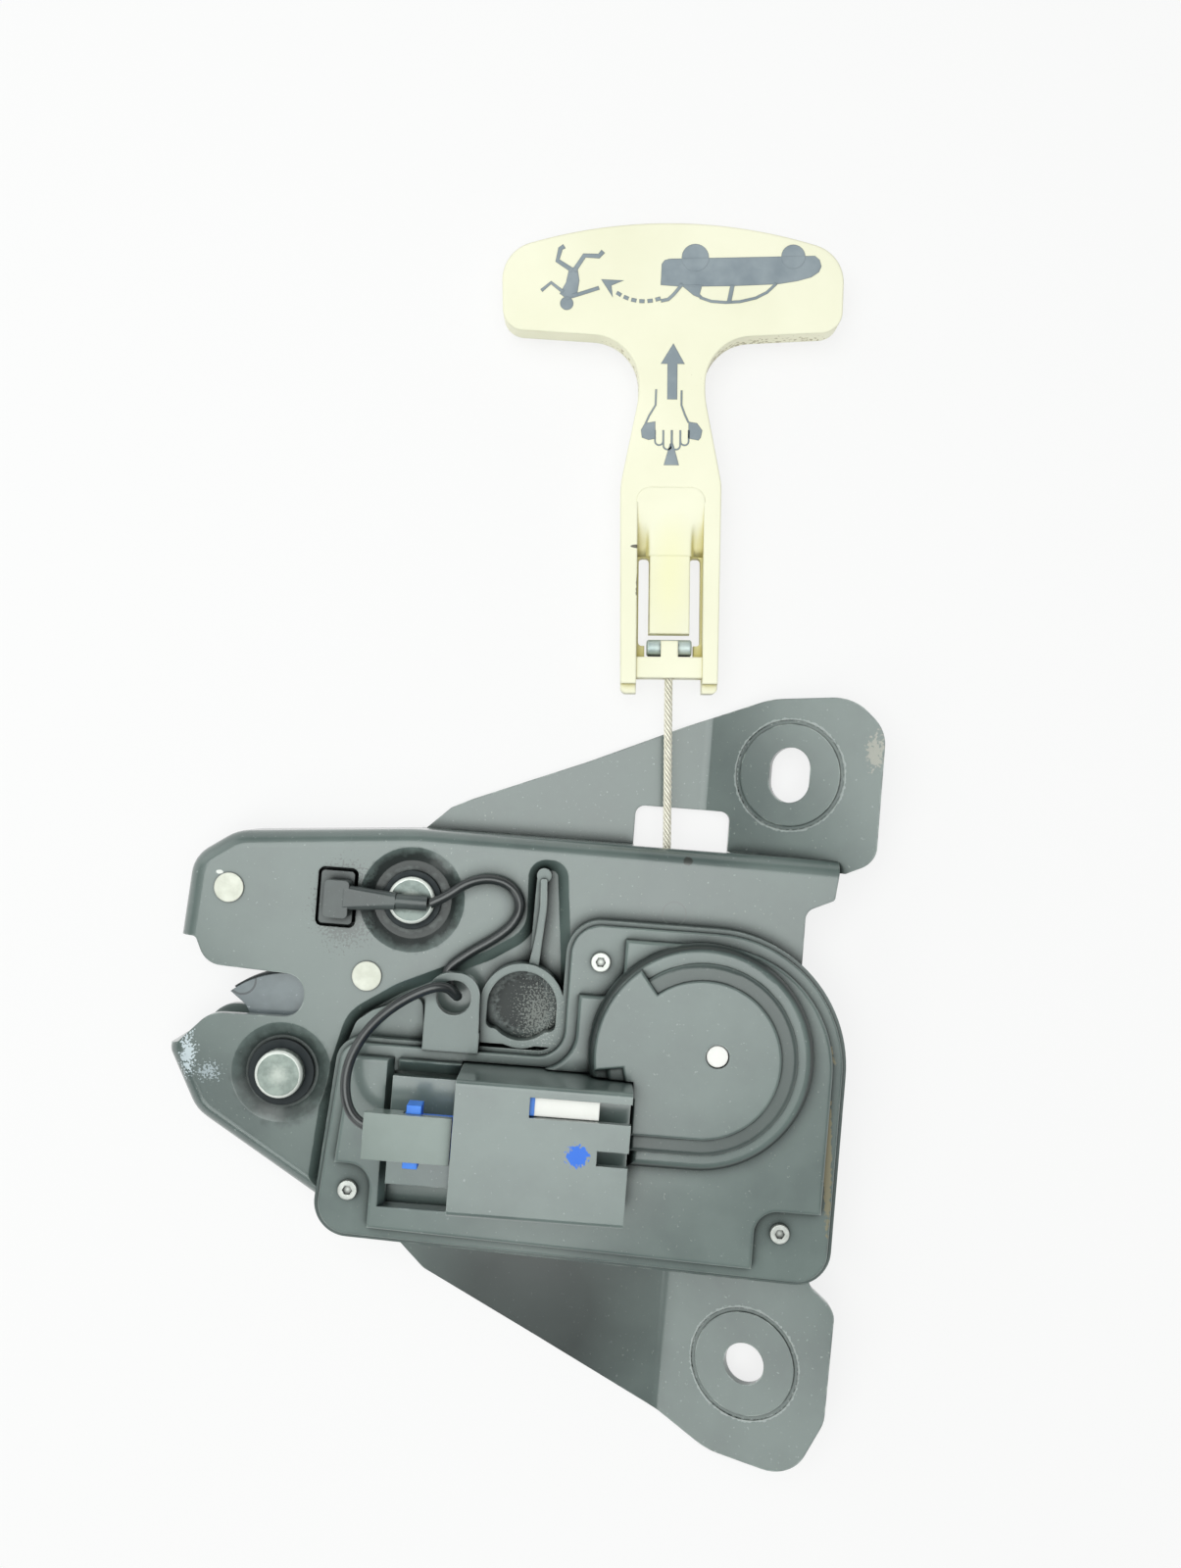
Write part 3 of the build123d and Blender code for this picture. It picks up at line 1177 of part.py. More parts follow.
terminal_carrier.part.label = "terminal_carrier"
export_step(terminal_carrier.part, "parts/terminal_carrier.step")

with BuildPart() as terminal_lock:
    with BuildSketch(Plane.XY.offset(carrier_high_z)):
        with Locations(((lock_left_x + lock_right_x) / 2, roof_slot_y)):
            Rectangle(lock_right_x - lock_left_x, lock_width)
    extrude(amount=-lock_t)

terminal_lock.part.label = "terminal_lock"
export_step(terminal_lock.part, "parts/terminal_lock.step")

with BuildPart() as terminals:
    for y in terminal_rows:
        blade_start = (socket_back_x - terminal_back, shroud_y + y, 0)
        with BuildSketch(Plane(origin=blade_start, x_dir=(0, 1, 0), z_dir=(1, 0, 0))):
            with Locations((0, carrier_z)):
                Rectangle(terminal_width, terminal_t)
        extrude(amount=terminal_length)

terminals.part.label = "terminals"
export_step(terminals.part, "parts/terminals.step")

# Lead plug: flat plate on the carrier's rear with the lead's outlet below it
with BuildPart() as lead_plug:
    with BuildSketch(Plane.XY.offset(plug_z - plug_t)):
        with Locations(((plug_left_x + shroud_left_x - seat_gap) / 2, plug_y)):
            Rectangle(shroud_left_x - seat_gap - plug_left_x, plug_high_y - plug_low_y)
    extrude(amount=plug_t)
    with BuildSketch(Plane.XY.offset(plug_z - plug_t)):
        with Locations(((plug_block_x + carrier_left_x - seat_gap) / 2, plug_y)):
            Rectangle(carrier_left_x - seat_gap - plug_block_x, plug_block_y)
    extrude(amount=-plug_block_t)

lead_plug.part.label = "lead_plug"
export_step(lead_plug.part, "parts/lead_plug.step")

# Switch body under the plate, with its raised part in the window
with BuildPart() as switch_body:
    with BuildSketch(Plane.XY.offset(back_z + thin_gap)):
        with Locations((switch_x, switch_y)):
            Rectangle(10.6, 14.0)
    extrude(amount=plate_under_z - dish_depth - back_z - 2 * thin_gap)
    with BuildSketch(Plane.XY.offset(0)):
        with Locations((switch_x, switch_y)):
            RectangleRounded(switch_window_x - 1.4, switch_window_y - 1.4, 0.8)
    extrude(amount=plate_z + 0.4)

switch_body.part.label = "switch_body"
export_step(switch_body.part, "parts/switch_body.step")

# Switch boot: T-shaped head and a neck that narrows towards the lead
boot_end_x, boot_end_y = -72.6, 91.9
neck_start_x = -88.4
with BuildPart() as switch_boot:
    with BuildSketch(Plane.XY.offset(plate_z + 0.4)):
        with Locations((switch_x + 0.6, switch_y)):
            RectangleRounded(5.0, 7.6, 0.9)
    extrude(amount=4.4)
    with BuildSketch(Plane(origin=(neck_start_x - 1, boot_end_y, boot_z), x_dir=(0, 1, 0), z_dir=(1, 0, 0))):
        RectangleRounded(5.0, 2.9, 0.8)
    with BuildSketch(Plane(origin=(-79, boot_end_y, boot_z), x_dir=(0, 1, 0), z_dir=(1, 0, 0))):
        RectangleRounded(3.4, 3.0, 1.2)
    loft()
    with BuildSketch(Plane(origin=(-79, boot_end_y, boot_z), x_dir=(0, 1, 0), z_dir=(1, 0, 0))):
        Circle(1.5)
    extrude(amount=boot_end_x + 79)

switch_boot.part.label = "switch_boot"
export_step(switch_boot.part, "parts/switch_boot.step")

# Lead from the plug, down through the lug, along the plate and into the boot
lead_z = plate_z + lead_r + 0.1
lead_end_gap = 0.5
lead_points = [
    (plug_block_x, 49.6, 24.6), (-81.6, 50.2, 24.5), (-84.2, 54.4, 23.8), (-84.6, 60.2, 22.2),
    (-82.4, 66.0, 20.4), (-78.4, 70.8, 18.6), (-73.0, 74.6, 17.2), (-67.4, 76.8, 16.6),
    (-64.4, 73.6, 14.0), (-66.4, 75.0, 9.6), (-68.6, 78.2, lead_z), (-63.6, 82.4, lead_z),
    (-58.6, 85.6, lead_z), (-55.0, 88.8, lead_z), (-53.6, 93.0, lead_z + 0.1),
    (-56.0, 96.8, lead_z + 0.4), (-60.6, 98.0, lead_z + 0.9), (-65.2, 96.6, 10.7),
    (-68.8, 93.6, 11.2), (boot_end_x + lead_end_gap, boot_end_y, boot_z),
]


def corner_radii(points):
    """For each corner, 0.45 of its shorter run over the tangent of half its turn."""
    radii = []
    for before, at, after in zip(points, points[1:], points[2:]):
        run_in = Vector(*at) - Vector(*before)
        run_out = Vector(*after) - Vector(*at)
        turn = radians(run_in.get_angle(run_out))
        radii.append(0.45 * min(run_in.length, run_out.length) / tan(turn / 2))
    return radii


lead_radii = corner_radii(lead_points)
print("lead radii", [round(r, 1) for r in lead_radii])
with BuildPart() as lead:
    with BuildLine() as lead_line:
        FilletPolyline(*lead_points, radius=lead_radii)
    with BuildSketch(Plane(origin=lead_line.line @ 0, z_dir=lead_line.line % 0)):
        Circle(lead_r)
    sweep()
lead_length = lead_line.wires()[0].length
print("lead length", round(lead_length, 1),
      "volume ratio", round(lead.part.volume / (pi * lead_r ** 2 * lead_length), 3))

lead.part.label = "lead"
export_step(lead.part, "parts/lead.step")
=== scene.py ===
import json
from math import radians
import bmesh
import bpy
import numpy as np
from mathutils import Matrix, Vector


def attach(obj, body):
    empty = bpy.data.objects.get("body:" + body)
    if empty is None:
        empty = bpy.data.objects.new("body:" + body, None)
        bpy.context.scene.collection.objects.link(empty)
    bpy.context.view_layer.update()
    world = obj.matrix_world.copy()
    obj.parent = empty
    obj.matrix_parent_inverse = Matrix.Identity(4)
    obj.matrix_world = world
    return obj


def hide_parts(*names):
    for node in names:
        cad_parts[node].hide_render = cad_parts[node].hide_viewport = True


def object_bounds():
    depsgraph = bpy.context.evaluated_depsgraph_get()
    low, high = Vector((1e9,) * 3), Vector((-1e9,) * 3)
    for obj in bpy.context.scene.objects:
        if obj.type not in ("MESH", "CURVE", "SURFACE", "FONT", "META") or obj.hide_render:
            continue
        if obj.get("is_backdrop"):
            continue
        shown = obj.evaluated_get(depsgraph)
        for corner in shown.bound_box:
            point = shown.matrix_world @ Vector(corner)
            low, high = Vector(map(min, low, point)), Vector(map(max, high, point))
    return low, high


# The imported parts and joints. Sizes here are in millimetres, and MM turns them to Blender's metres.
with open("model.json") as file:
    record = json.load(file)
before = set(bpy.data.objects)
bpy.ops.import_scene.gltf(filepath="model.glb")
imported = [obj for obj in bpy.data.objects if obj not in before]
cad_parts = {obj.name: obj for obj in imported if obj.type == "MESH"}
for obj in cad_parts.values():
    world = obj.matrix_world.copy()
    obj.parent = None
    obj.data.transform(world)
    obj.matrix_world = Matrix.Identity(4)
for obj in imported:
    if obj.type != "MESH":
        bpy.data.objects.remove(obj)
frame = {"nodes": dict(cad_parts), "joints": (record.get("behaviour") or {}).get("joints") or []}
nodes = frame["nodes"]
joints = {joint["name"]: joint for joint in frame["joints"]}
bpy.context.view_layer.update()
MM = 0.001


# Latch plate and back plate: pressed from 1.8 mm steel, degreased, then dipped in black electrocoat
# and baked. The coat is thin and satin with a faint orange peel. Bolts have scuffed the rings round
# their holes, the striker has scuffed the tip below its slot, and dust lies in specks all over. Its
# edges are paler, partly from wear and partly as painted highlight, and its corners carry painted shade.
def rgb(code):
    """Linear colour of an sRGB hex value."""
    parts = [int(code[i:i + 2], 16) / 255 for i in (0, 2, 4)]
    linear = [p / 12.92 if p <= 0.04045 else ((p + 0.055) / 1.055) ** 2.4 for p in parts]
    return (*linear, 1.0)


def add(tree, kind, inputs=(), out=0, **settings):
    """Add a shader node with its settings; inputs pair a socket with a value or an output."""
    made = tree.nodes.new("ShaderNode" + kind)
    for name, value in settings.items():
        setattr(made, name, value)
    for socket, value in inputs:
        if isinstance(value, bpy.types.NodeSocket):
            tree.links.new(value, made.inputs[socket])
        else:
            made.inputs[socket].default_value = value
    return made.outputs[out]


def dull(tree, mask):
    """Take the sheen away where the mask is 1, for painted shade and for dirt: each amount of it times 1 -
    mask.
    """
    shader = tree.nodes["Principled BSDF"]
    kept = add(tree, "Math", [(0, 1.0), (1, mask)], operation="SUBTRACT")
    for name in ("Coat Weight", "Specular IOR Level"):
        socket = shader.inputs[name]
        sheen = socket.links[0].from_socket if socket.links else socket.default_value
        if sheen != 0:
            tree.links.new(add(tree, "Math", [(0, sheen), (1, kept)], operation="MULTIPLY"), socket)


SPECKS_PER_MM = 1.5
EDGE_WEAR_AND_HIGHLIGHT_PER_MM = 0.26


def finish(name, tones, patch, rough, grain, height, soft=0.3, metal=0.0, ior=1.5, coat=0.0,
           edge_wear_and_highlight=None, corner_shade=None, specks=None):
    """A surface from how it was made, with every length in millimetres.

    tones are two colours that it wanders between over patches of the size patch, and rough are two
    roughnesses over the same patches. Its grain is so wide and so high, and edges turn over soft. worn is
    the colour that edges take where the rounded normal leaves the flat one, partly wear from handling and
    partly painted highlight. shut is the colour of painted shade laid in corners, where ambient occlusion
    finds them, and how far it reaches; the sheen is taken away there too. specks is the colour of loose
    dust. Fine grain and dust are drawn coarser than they are, at 0.3 mm or more, so that they show.
    """
    material = bpy.data.materials.new(name)
    material.use_nodes = True
    tree = material.node_tree
    shader = tree.nodes["Principled BSDF"]
    place = add(tree, "TexCoord", out="Object")
    wander = add(tree, "TexNoise", [("Vector", place), ("Scale", 1 / (patch * MM)), ("Detail", 4.0)])
    blend = add(tree, "MapRange", [("Value", wander), ("From Min", 0.36), ("From Max", 0.64)])
    colour = add(tree, "Mix", [(0, blend), (6, rgb(tones[0])), (7, rgb(tones[1]))], 2, data_type="RGBA")
    if specks:
        dots = add(tree, "TexNoise", [("Vector", place), ("Scale", SPECKS_PER_MM / MM), ("Detail", 3.0)])
        dots = add(tree, "MapRange", [("Value", dots), ("From Min", 0.68), ("From Max", 0.74),
                                      ("To Max", 0.5)])
        colour = add(tree, "Mix", [(0, dots), (6, colour), (7, rgb(specks))], 2, data_type="RGBA")
    turned = add(tree, "Bevel", [("Radius", soft * MM)], samples=6)
    # Edges, in patches: partly wear from handling and partly painted highlight
    if edge_wear_and_highlight:
        flat = add(tree, "NewGeometry", out="Normal")
        edge = add(tree, "VectorMath", [(0, turned), (1, flat)], "Value", operation="DOT_PRODUCT")
        edge = add(tree, "MapRange", [("Value", edge), ("From Min", 0.985), ("From Max", 0.90)])
        patchy = add(tree, "TexNoise", [("Vector", place), ("Scale", EDGE_WEAR_AND_HIGHLIGHT_PER_MM / MM), ("Detail", 5.0)])
        patchy = add(tree, "MapRange", [("Value", patchy), ("From Min", 0.45), ("From Max", 0.62)])
        edge = add(tree, "Math", [(0, edge), (1, patchy)], operation="MULTIPLY")
        colour = add(tree, "Mix", [(0, edge), (6, colour), (7, rgb(edge_wear_and_highlight))], 2, data_type="RGBA")
    # Painted shade in corners, found by ambient occlusion
    if corner_shade:
        open_air = add(tree, "AmbientOcclusion", [("Distance", corner_shade[1] * MM)], "AO", samples=8)
        closed = add(tree, "MapRange", [("Value", open_air), ("From Min", 0.92), ("From Max", 0.40),
                                        ("To Max", 0.95)])
        colour = add(tree, "Mix", [(0, closed), (6, colour), (7, rgb(corner_shade[0]))], 2, data_type="RGBA")
    rise = add(tree, "TexNoise", [("Vector", place), ("Scale", 1 / (grain * MM)), ("Detail", 2.0)])
    normal = add(tree, "Bump", [("Height", rise), ("Distance", height * MM), ("Normal", turned)])
    gloss = add(tree, "MapRange", [("Value", wander), ("From Min", 0.3), ("From Max", 0.7),
                                   ("To Min", rough[0]), ("To Max", rough[1])])
    for socket, value in (("Base Color", colour), ("Roughness", gloss), ("Normal", normal)):
        tree.links.new(value, shader.inputs[socket])
    for socket, value in (("Metallic", metal), ("IOR", ior), ("Coat Weight", coat), ("Coat Roughness", 0.16)):
        shader.inputs[socket].default_value = value
    # Corners in painted shade lose their sheen too
    if corner_shade:
        dull(tree, closed)
    return material


def patch_of(material, place, size, colour, amount=1.0, ragged=0.0, grain=1.0, hollow=0.0, turn=0.0,
             fade=0.2, matte=0.0):
    """Lay a colour over a finish inside an ellipsoid, or a shell of one whose inner share is hollow.

    The mask is where the distance from the middle, in half sizes, is less than 1, or for a shell where it
    lies between hollow and 1. It grows over the share fade of that. ragged adds noise of the width grain to
    the distance, so that the border breaks up, and matte is how much sheen goes with it.
    """
    crest, half = ((1 + hollow) / 2, (1 - hollow) / 2) if hollow else (0.0, 1.0)
    tree = material.node_tree
    shader = tree.nodes["Principled BSDF"]
    here = add(tree, "TexCoord", out="Object")
    local = add(tree, "Mapping", [("Vector", here), ("Location", [c * MM for c in place]),
                                  ("Rotation", (0, 0, radians(turn))), ("Scale", [c * MM for c in size])],
                vector_type="TEXTURE")
    away = add(tree, "VectorMath", [(0, local)], "Value", operation="LENGTH")
    away = add(tree, "Math", [(0, away), (1, crest)], operation="SUBTRACT")
    away = add(tree, "Math", [(0, away)], operation="ABSOLUTE")
    broken = add(tree, "TexNoise", [("Vector", here), ("Scale", 1 / (grain * MM)), ("Detail", 4.0)])
    away = add(tree, "Math", [(0, broken), (1, ragged), (2, away)], operation="MULTIPLY_ADD")
    mask = add(tree, "MapRange", [("Value", away), ("From Min", half + ragged / 2),
                                  ("From Max", half * (1 - fade) + ragged / 2), ("To Max", amount)])
    under = shader.inputs["Base Color"].links[0].from_socket
    over = add(tree, "Mix", [(0, mask), (6, under), (7, rgb(colour))], 2, data_type="RGBA")
    tree.links.new(over, shader.inputs["Base Color"])
    if matte:
        dull(tree, add(tree, "Math", [(0, mask), (1, matte)], operation="MULTIPLY"))


def wear(names, material):
    """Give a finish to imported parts."""
    for name in names:
        mesh = nodes[name].data
        mesh.materials.clear()
        mesh.materials.append(material)


electrocoat = finish("black_electrocoat", ("4a5956", "5e6d69"), patch=22, rough=(0.34, 0.48), grain=0.7,
                     height=0.010, soft=0.5, ior=1.6, coat=1.0, edge_wear_and_highlight="a3b0aa", corner_shade=("050707", 3.6),
                     specks="9fa9a4")
# The striker's scuffs on the tip below the slot
patch_of(electrocoat, (-119.4, 57.4, 7), (1.3, 3.6, 6), "cbd8de", amount=0.85, ragged=5.0, grain=0.45)
patch_of(electrocoat, (-115.0, 54.0, 7), (1.6, 1.2, 6), "b6c4cb", amount=0.6, ragged=9.0, grain=0.5)
# A chip in the coat by the corner; painted shade for a small dent near the top edge, and a faint pressed ring
# drawn only as a ring of painted shade
patch_of(electrocoat, (-115.8, 94.8, 7), (0.9, 0.5, 3), "e4e6e0", amount=0.9, ragged=0.5, grain=0.6)
patch_of(electrocoat, (-20.6, 104.3, 7), (1.1, 1.0, 3), "20241f", amount=0.9, ragged=0.4, grain=0.5)
patch_of(electrocoat, (-22.6, 93.4, 8), (2.6, 2.6, 3), "454d4b", amount=0.6, hollow=0.86)
# Grime round the switch's window; painted shade, with its sheen taken away, in the dishes round both pivots
# and on the lower wing's slope
patch_of(electrocoat, (-89.5, 90.0, 8), (6.0, 8.0, 9), "1b1f20", amount=0.6, ragged=3.0, grain=0.5)
patch_of(electrocoat, (-76.2, 92.1, 5), (11.6, 11.6, 9), "0c0f10", amount=0.85, ragged=0.3, grain=2.0,
         hollow=0.45, fade=0.7, matte=0.6)
patch_of(electrocoat, (-99.5, 54.4, 5), (11.6, 11.6, 9), "0c0f10", amount=0.6, ragged=0.4, grain=2.0,
         hollow=0.45, fade=0.9, matte=0.5)
patch_of(electrocoat, (-46, 6, -7), (34, 34, 7), "0f1414", amount=0.7, ragged=0.2, grain=12, fade=0.6,
         matte=0.4)
# Dried dirt on the upper wing's corner, and the ring that each bolt's flange has left
patch_of(electrocoat, (16.2, 129.5, 6), (2.0, 4.2, 3), "9d9a8c", amount=0.7, ragged=2.4, grain=0.8)
BOLT_SPACING = 123.6
FLANGE_RING_R = 12.0
for bolt_y in (0.0, BOLT_SPACING):
    patch_of(electrocoat, (0, bolt_y, 0), (FLANGE_RING_R,) * 3, "aab2b0", amount=0.45, ragged=0.10,
             grain=0.8, hollow=0.955)
wear(["latch_plate", "back_plate"], electrocoat)

# Fork, pawl and release lever: hardened steel strip, blanked and blackened with oil, which rubs bright
# on edges; the paler edges are partly that wear and partly painted highlight. The fork's face carries
# a moulded glass-filled nylon skin, satin and a shade bluer than the coat round it, with a plain moulded
# ring drawn only as a ring of painted shade. Both carry painted shade in their corners.
blackened = finish("oil_blackened_steel", ("4a4f50", "5d6264"), patch=12, rough=(0.34, 0.48), grain=0.5,
                   height=0.006, metal=0.6, edge_wear_and_highlight="a3a7a6", corner_shade=("101213", 2.5))
wear(["fork", "pawl", "release_lever"], blackened)
fork_skin = finish("glass_filled_nylon", ("5f6a6f", "737e82"), patch=7, rough=(0.36, 0.50), grain=0.5,
                   height=0.012, ior=1.55, coat=0.6, corner_shade=("14181b", 2.4), specks="a9b3b6")
# The moulded ring, as a ring of painted shade
patch_of(fork_skin, (-110.5, 72.4, 4), (3.1, 3.1, 4), "343b3f", amount=0.8, hollow=0.84)
wear(["fork_overmould"], fork_skin)

# Springs: torsion coils wound from drawn spring wire, one round each pivot. The wire has no coat, so it
# shows as plain bright steel.
drawn_wire = finish("drawn_spring_wire", ("7b7c79", "95968f"), patch=5, rough=(0.26, 0.36), grain=0.3,
                    height=0.002, metal=1.0)
wear(["fork_spring", "pawl_spring"], drawn_wire)

# Pivots: turned steel rivets. Their flange took the black coat with the plate, the head was spun over
# afterwards and is bare, greyed by handling, with a brighter middle and a bright ring round its edge.
# Corners round the head carry painted shade.
FAR = 500.0
FLANGE_Z = 7.0
FLANGE_HALF = 1.15
BRIGHT_R = 2.4
for rivet, joint, head_r, tones in (("fork_pivot", "fork_turn", 4.9, ("7f8a84", "9aa59e")),
                                    ("pawl_pivot", "lever_swing", 4.8, ("6b7672", "929d98"))):
    x, y = [c / MM for c in joints[joint]["pos_m"][:2]]
    spun = finish("spun_steel_" + rivet, tones, patch=2.0, rough=(0.36, 0.52), grain=0.4, height=0.010,
                  metal=0.35, corner_shade=("1a1d1d", 1.6))
    patch_of(spun, (x, y, 10), (BRIGHT_R, BRIGHT_R, FAR), "d5dad2", amount=0.5, ragged=0.8, grain=0.6,
             fade=0.9)
    patch_of(spun, (x, y, 10), (head_r, head_r, FAR), "eef2ec", amount=0.9, ragged=0.05, hollow=0.86)
    patch_of(spun, (x, y, FLANGE_Z), (FAR, FAR, FLANGE_HALF), "262b2d", matte=0.5)
    wear([rivet], spun)

# Spacer rivets: steel rivets that hold the two plates apart, set flush with the front one. They are
# zinc plated, so their heads are pale and nearly flat in tone.
# Painted shade gathers round the heads
zinc_plate = finish("zinc_plated_rivet", ("c6c8bb", "dcded2"), patch=2.5, rough=(0.40, 0.52), grain=0.4,
                    height=0.004, metal=0.25, corner_shade=("6a6c64", 0.8))
wear(["spacer_rivets"], zinc_plate)

# Switch: a black body in the plate's window, and a boot of moulded rubber on its lead. Rubber is
# duller and darker than the coat round it and holds a little grey dust.
# Painted shade in the corners
rubber = finish("moulded_rubber", ("363e3e", "464f4e"), patch=6, rough=(0.42, 0.54), grain=0.4,
                height=0.012, coat=0.5, corner_shade=("060707", 2.2), specks="8f9795")
wear(["switch_body", "switch_boot"], rubber)

# Lead: two fine wires in one soft black sleeve, 2 mm across, smooth enough for a narrow shine along its
# top. It leaves the flat plug, dips through the lug, lies along the plate and comes round into the
# switch's boot.
LEAD_R = 1.0
LEAD_POINTS = [
    (-78.8, 49.6, 24.6), (-81.6, 50.2, 24.5), (-84.2, 54.4, 23.8), (-84.6, 60.2, 22.2),
    (-82.4, 66.0, 20.4), (-78.4, 70.8, 18.6), (-73.0, 74.6, 17.2), (-67.4, 76.8, 16.6),
    (-64.4, 73.6, 14.0), (-66.4, 75.0, 9.6), (-68.6, 78.2, 9.1), (-63.6, 82.4, 9.1),
    (-58.6, 85.6, 9.1), (-55.0, 88.8, 9.1), (-53.6, 93.0, 9.2),
    (-56.0, 96.8, 9.5), (-60.6, 98.0, 10.0), (-65.2, 96.6, 10.7),
    (-68.8, 93.6, 11.2), (-72.1, 91.9, 11.4),
]
# Painted shade where the lead lies close to other parts
sleeve = finish("soft_sleeve", ("1e2324", "2a2f30"), patch=5, rough=(0.30, 0.40), grain=0.5,
                height=0.010, coat=0.6, corner_shade=("060707", 1.2))
lead_line = bpy.data.curves.new("lead_wire", "CURVE")
lead_line.dimensions = "3D"
lead_line.bevel_depth = LEAD_R * MM
lead_line.bevel_resolution = 5
lead_line.resolution_u = 8
lead_line.use_fill_caps = True
lead_run = lead_line.splines.new("NURBS")
lead_run.points.add(len(LEAD_POINTS) - 1)
lead_run.points.foreach_set("co", (np.c_[np.array(LEAD_POINTS) * MM, np.ones(len(LEAD_POINTS))]).ravel())
lead_run.order_u = 3
lead_run.use_endpoint_u = True
lead_line.materials.append(sleeve)
lead = bpy.data.objects.new("lead_wire", lead_line)
bpy.context.scene.collection.objects.link(lead)
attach(lead, "case")
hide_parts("lead")

# Actuator housing: base and cover moulded in black glass-filled nylon. The mould's spark-eroded texture
# breaks the sheen up to a fine satin. The steps of the drum carry painted shade that also dulls their
# sheen, the well's floor is painted dark as shade with pale grit settled over part of it, and dirt lies
# brown in the cover's lip along the drum's corner. Paler edges are partly wear and partly painted
# highlight, and corners carry painted shade.
NYLON = ("51605d", "62716d")
tray = finish("moulded_nylon_tray", NYLON, patch=16, rough=(0.38, 0.50), grain=0.45, height=0.010, soft=0.5,
              ior=1.55, coat=0.8, edge_wear_and_highlight="8d9794", corner_shade=("040606", 3.6), specks="949c98")
# Painted shade over the well's floor, with little sheen, and pale grit on part of it
patch_of(tray, (-52, 72.9, 3), (7.2, 7.2, 12), "141818", amount=0.9, ragged=0.5, grain=0.8, matte=0.75)
patch_of(tray, (-48.8, 71, 3), (2.6, 4.2, 12), "a3a8a2", amount=0.5, ragged=9.0, grain=0.4)
wear(["actuator_base"], tray)
lid = finish("moulded_nylon_lid", NYLON, patch=16, rough=(0.36, 0.48), grain=0.45, height=0.010, soft=0.7,
             ior=1.55, coat=0.9, edge_wear_and_highlight="8f9a96", corner_shade=("040606", 3.6), specks="949c98")
# Painted shade on the drum's steps, darker on the lower ones, with their sheen taken away
patch_of(lid, (-15.8, 66.4, 20.3), (FAR, FAR, 0.45), "1a2020", amount=0.5, matte=0.5)
patch_of(lid, (-15.8, 66.4, 17.5), (FAR, FAR, 1.6), "0e1212", amount=0.8, matte=0.7)
for x, y, half_length, turn in ((11.3, 48.5, 17.0, 4.4), (6.9, 74.2, 9.0, 32)):
    patch_of(lid, (x, y, 13.4), (0.9, half_length, 1.6), "8d8468", amount=0.75, ragged=1.2, grain=0.9,
             turn=turn, matte=0.6)
wear(["actuator_cover"], lid)

# Cover screws: small pan heads with a hexagonal socket, driven through the cover into the base. They
# are stainless steel with a soft grey shine, and painted shade lies only in the socket.
stainless = finish("stainless_screw", ("b6b9b4", "cdd0cb"), patch=1.5, rough=(0.30, 0.42), grain=0.3,
                   height=0.003, metal=0.5, corner_shade=("1b1d1d", 0.9))
wear(["cover_screws"], stainless)

# Drive inside the housing: a nickel plated motor can with its steel shaft and worm, all bright metal,
# and a gear moulded in natural acetal, an even milky white, whose hub shows in the drum's hole.
motor_can = finish("plated_motor_can", ("80817f", "9a9b98"), patch=8, rough=(0.28, 0.40), grain=0.5,
                   height=0.003, metal=0.9)
wear(["motor", "motor_shaft", "worm"], motor_can)
acetal = finish("natural_acetal", ("f2f1ec", "fbfaf6"), patch=12, rough=(0.34, 0.44), grain=0.6,
                height=0.004)
wear(["drive_gear", "terminal_lock"], acetal)

# Connector: a shroud of black nylon from a polished mould, smoother than the housing, with a dab of
# blue paint from its inspection. Its carrier is blue right through, its terminals are tin bronze, a
# warm yellow metal, and the lead's plug is flat and a little paler.
# Edges of shroud and plug: partly wear, partly painted highlight; their corners carry painted shade
smooth_nylon = finish("smooth_moulded_nylon", ("53625f", "63726e"), patch=14, rough=(0.32, 0.42), grain=0.9,
                      height=0.006, soft=0.25, ior=1.6, coat=1.0, edge_wear_and_highlight="98a19e", corner_shade=("0a0c0d", 2.4),
                      specks="979f9c")
patch_of(smooth_nylon, (-38.7, 48.5, 30), (2.3, 2.2, 2), "0a6be0", amount=0.95, ragged=1.6, grain=0.6,
         matte=0.7)
wear(["connector_shroud"], smooth_nylon)
plug_nylon = finish("dull_moulded_nylon", ("607069", "6f7f79"), patch=14, rough=(0.38, 0.48), grain=0.6,
                    height=0.008, soft=0.25, ior=1.6, coat=0.9, edge_wear_and_highlight="98a19e", corner_shade=("0a0c0d", 2.5))
wear(["lead_plug"], plug_nylon)
blue_nylon = finish("blue_connector_nylon", ("2f7ae6", "4790f6"), patch=6, rough=(0.36, 0.46), grain=0.5,
                    height=0.005)
wear(["terminal_carrier"], blue_nylon)
bronze = finish("tin_bronze", ("b39a55", "cdb775"), patch=3, rough=(0.26, 0.36), grain=0.3,
                height=0.002, metal=1.0)
wear(["terminals"], bronze)


# Pull cable: galvanised wire rope 1.8 mm thick, six strands laid round a core, pale and warm, with a
# brownish painted shade between the strands. A nipple on one end and a barrel on the other are die-cast
# zinc, blue-grey, with paler edges that are partly wear and partly painted highlight. It is drawn tight,
# so it is one straight piece.
def skin(rings):
    """Vertices and faces of a closed skin over rings, an array of ring by point by coordinate.

    Quads join each ring to the next, point by point, and the two end rings are closed by one face.
    """
    count, around = rings.shape[:2]
    at = np.arange(count * around).reshape(count, around)
    beside = np.roll(at, -1, axis=1)
    quads = np.stack([at[:-1], beside[:-1], beside[1:], at[1:]], axis=-1).reshape(-1, 4)
    return rings.reshape(-1, 3), quads.tolist() + [at[0][::-1].tolist(), at[-1].tolist()]


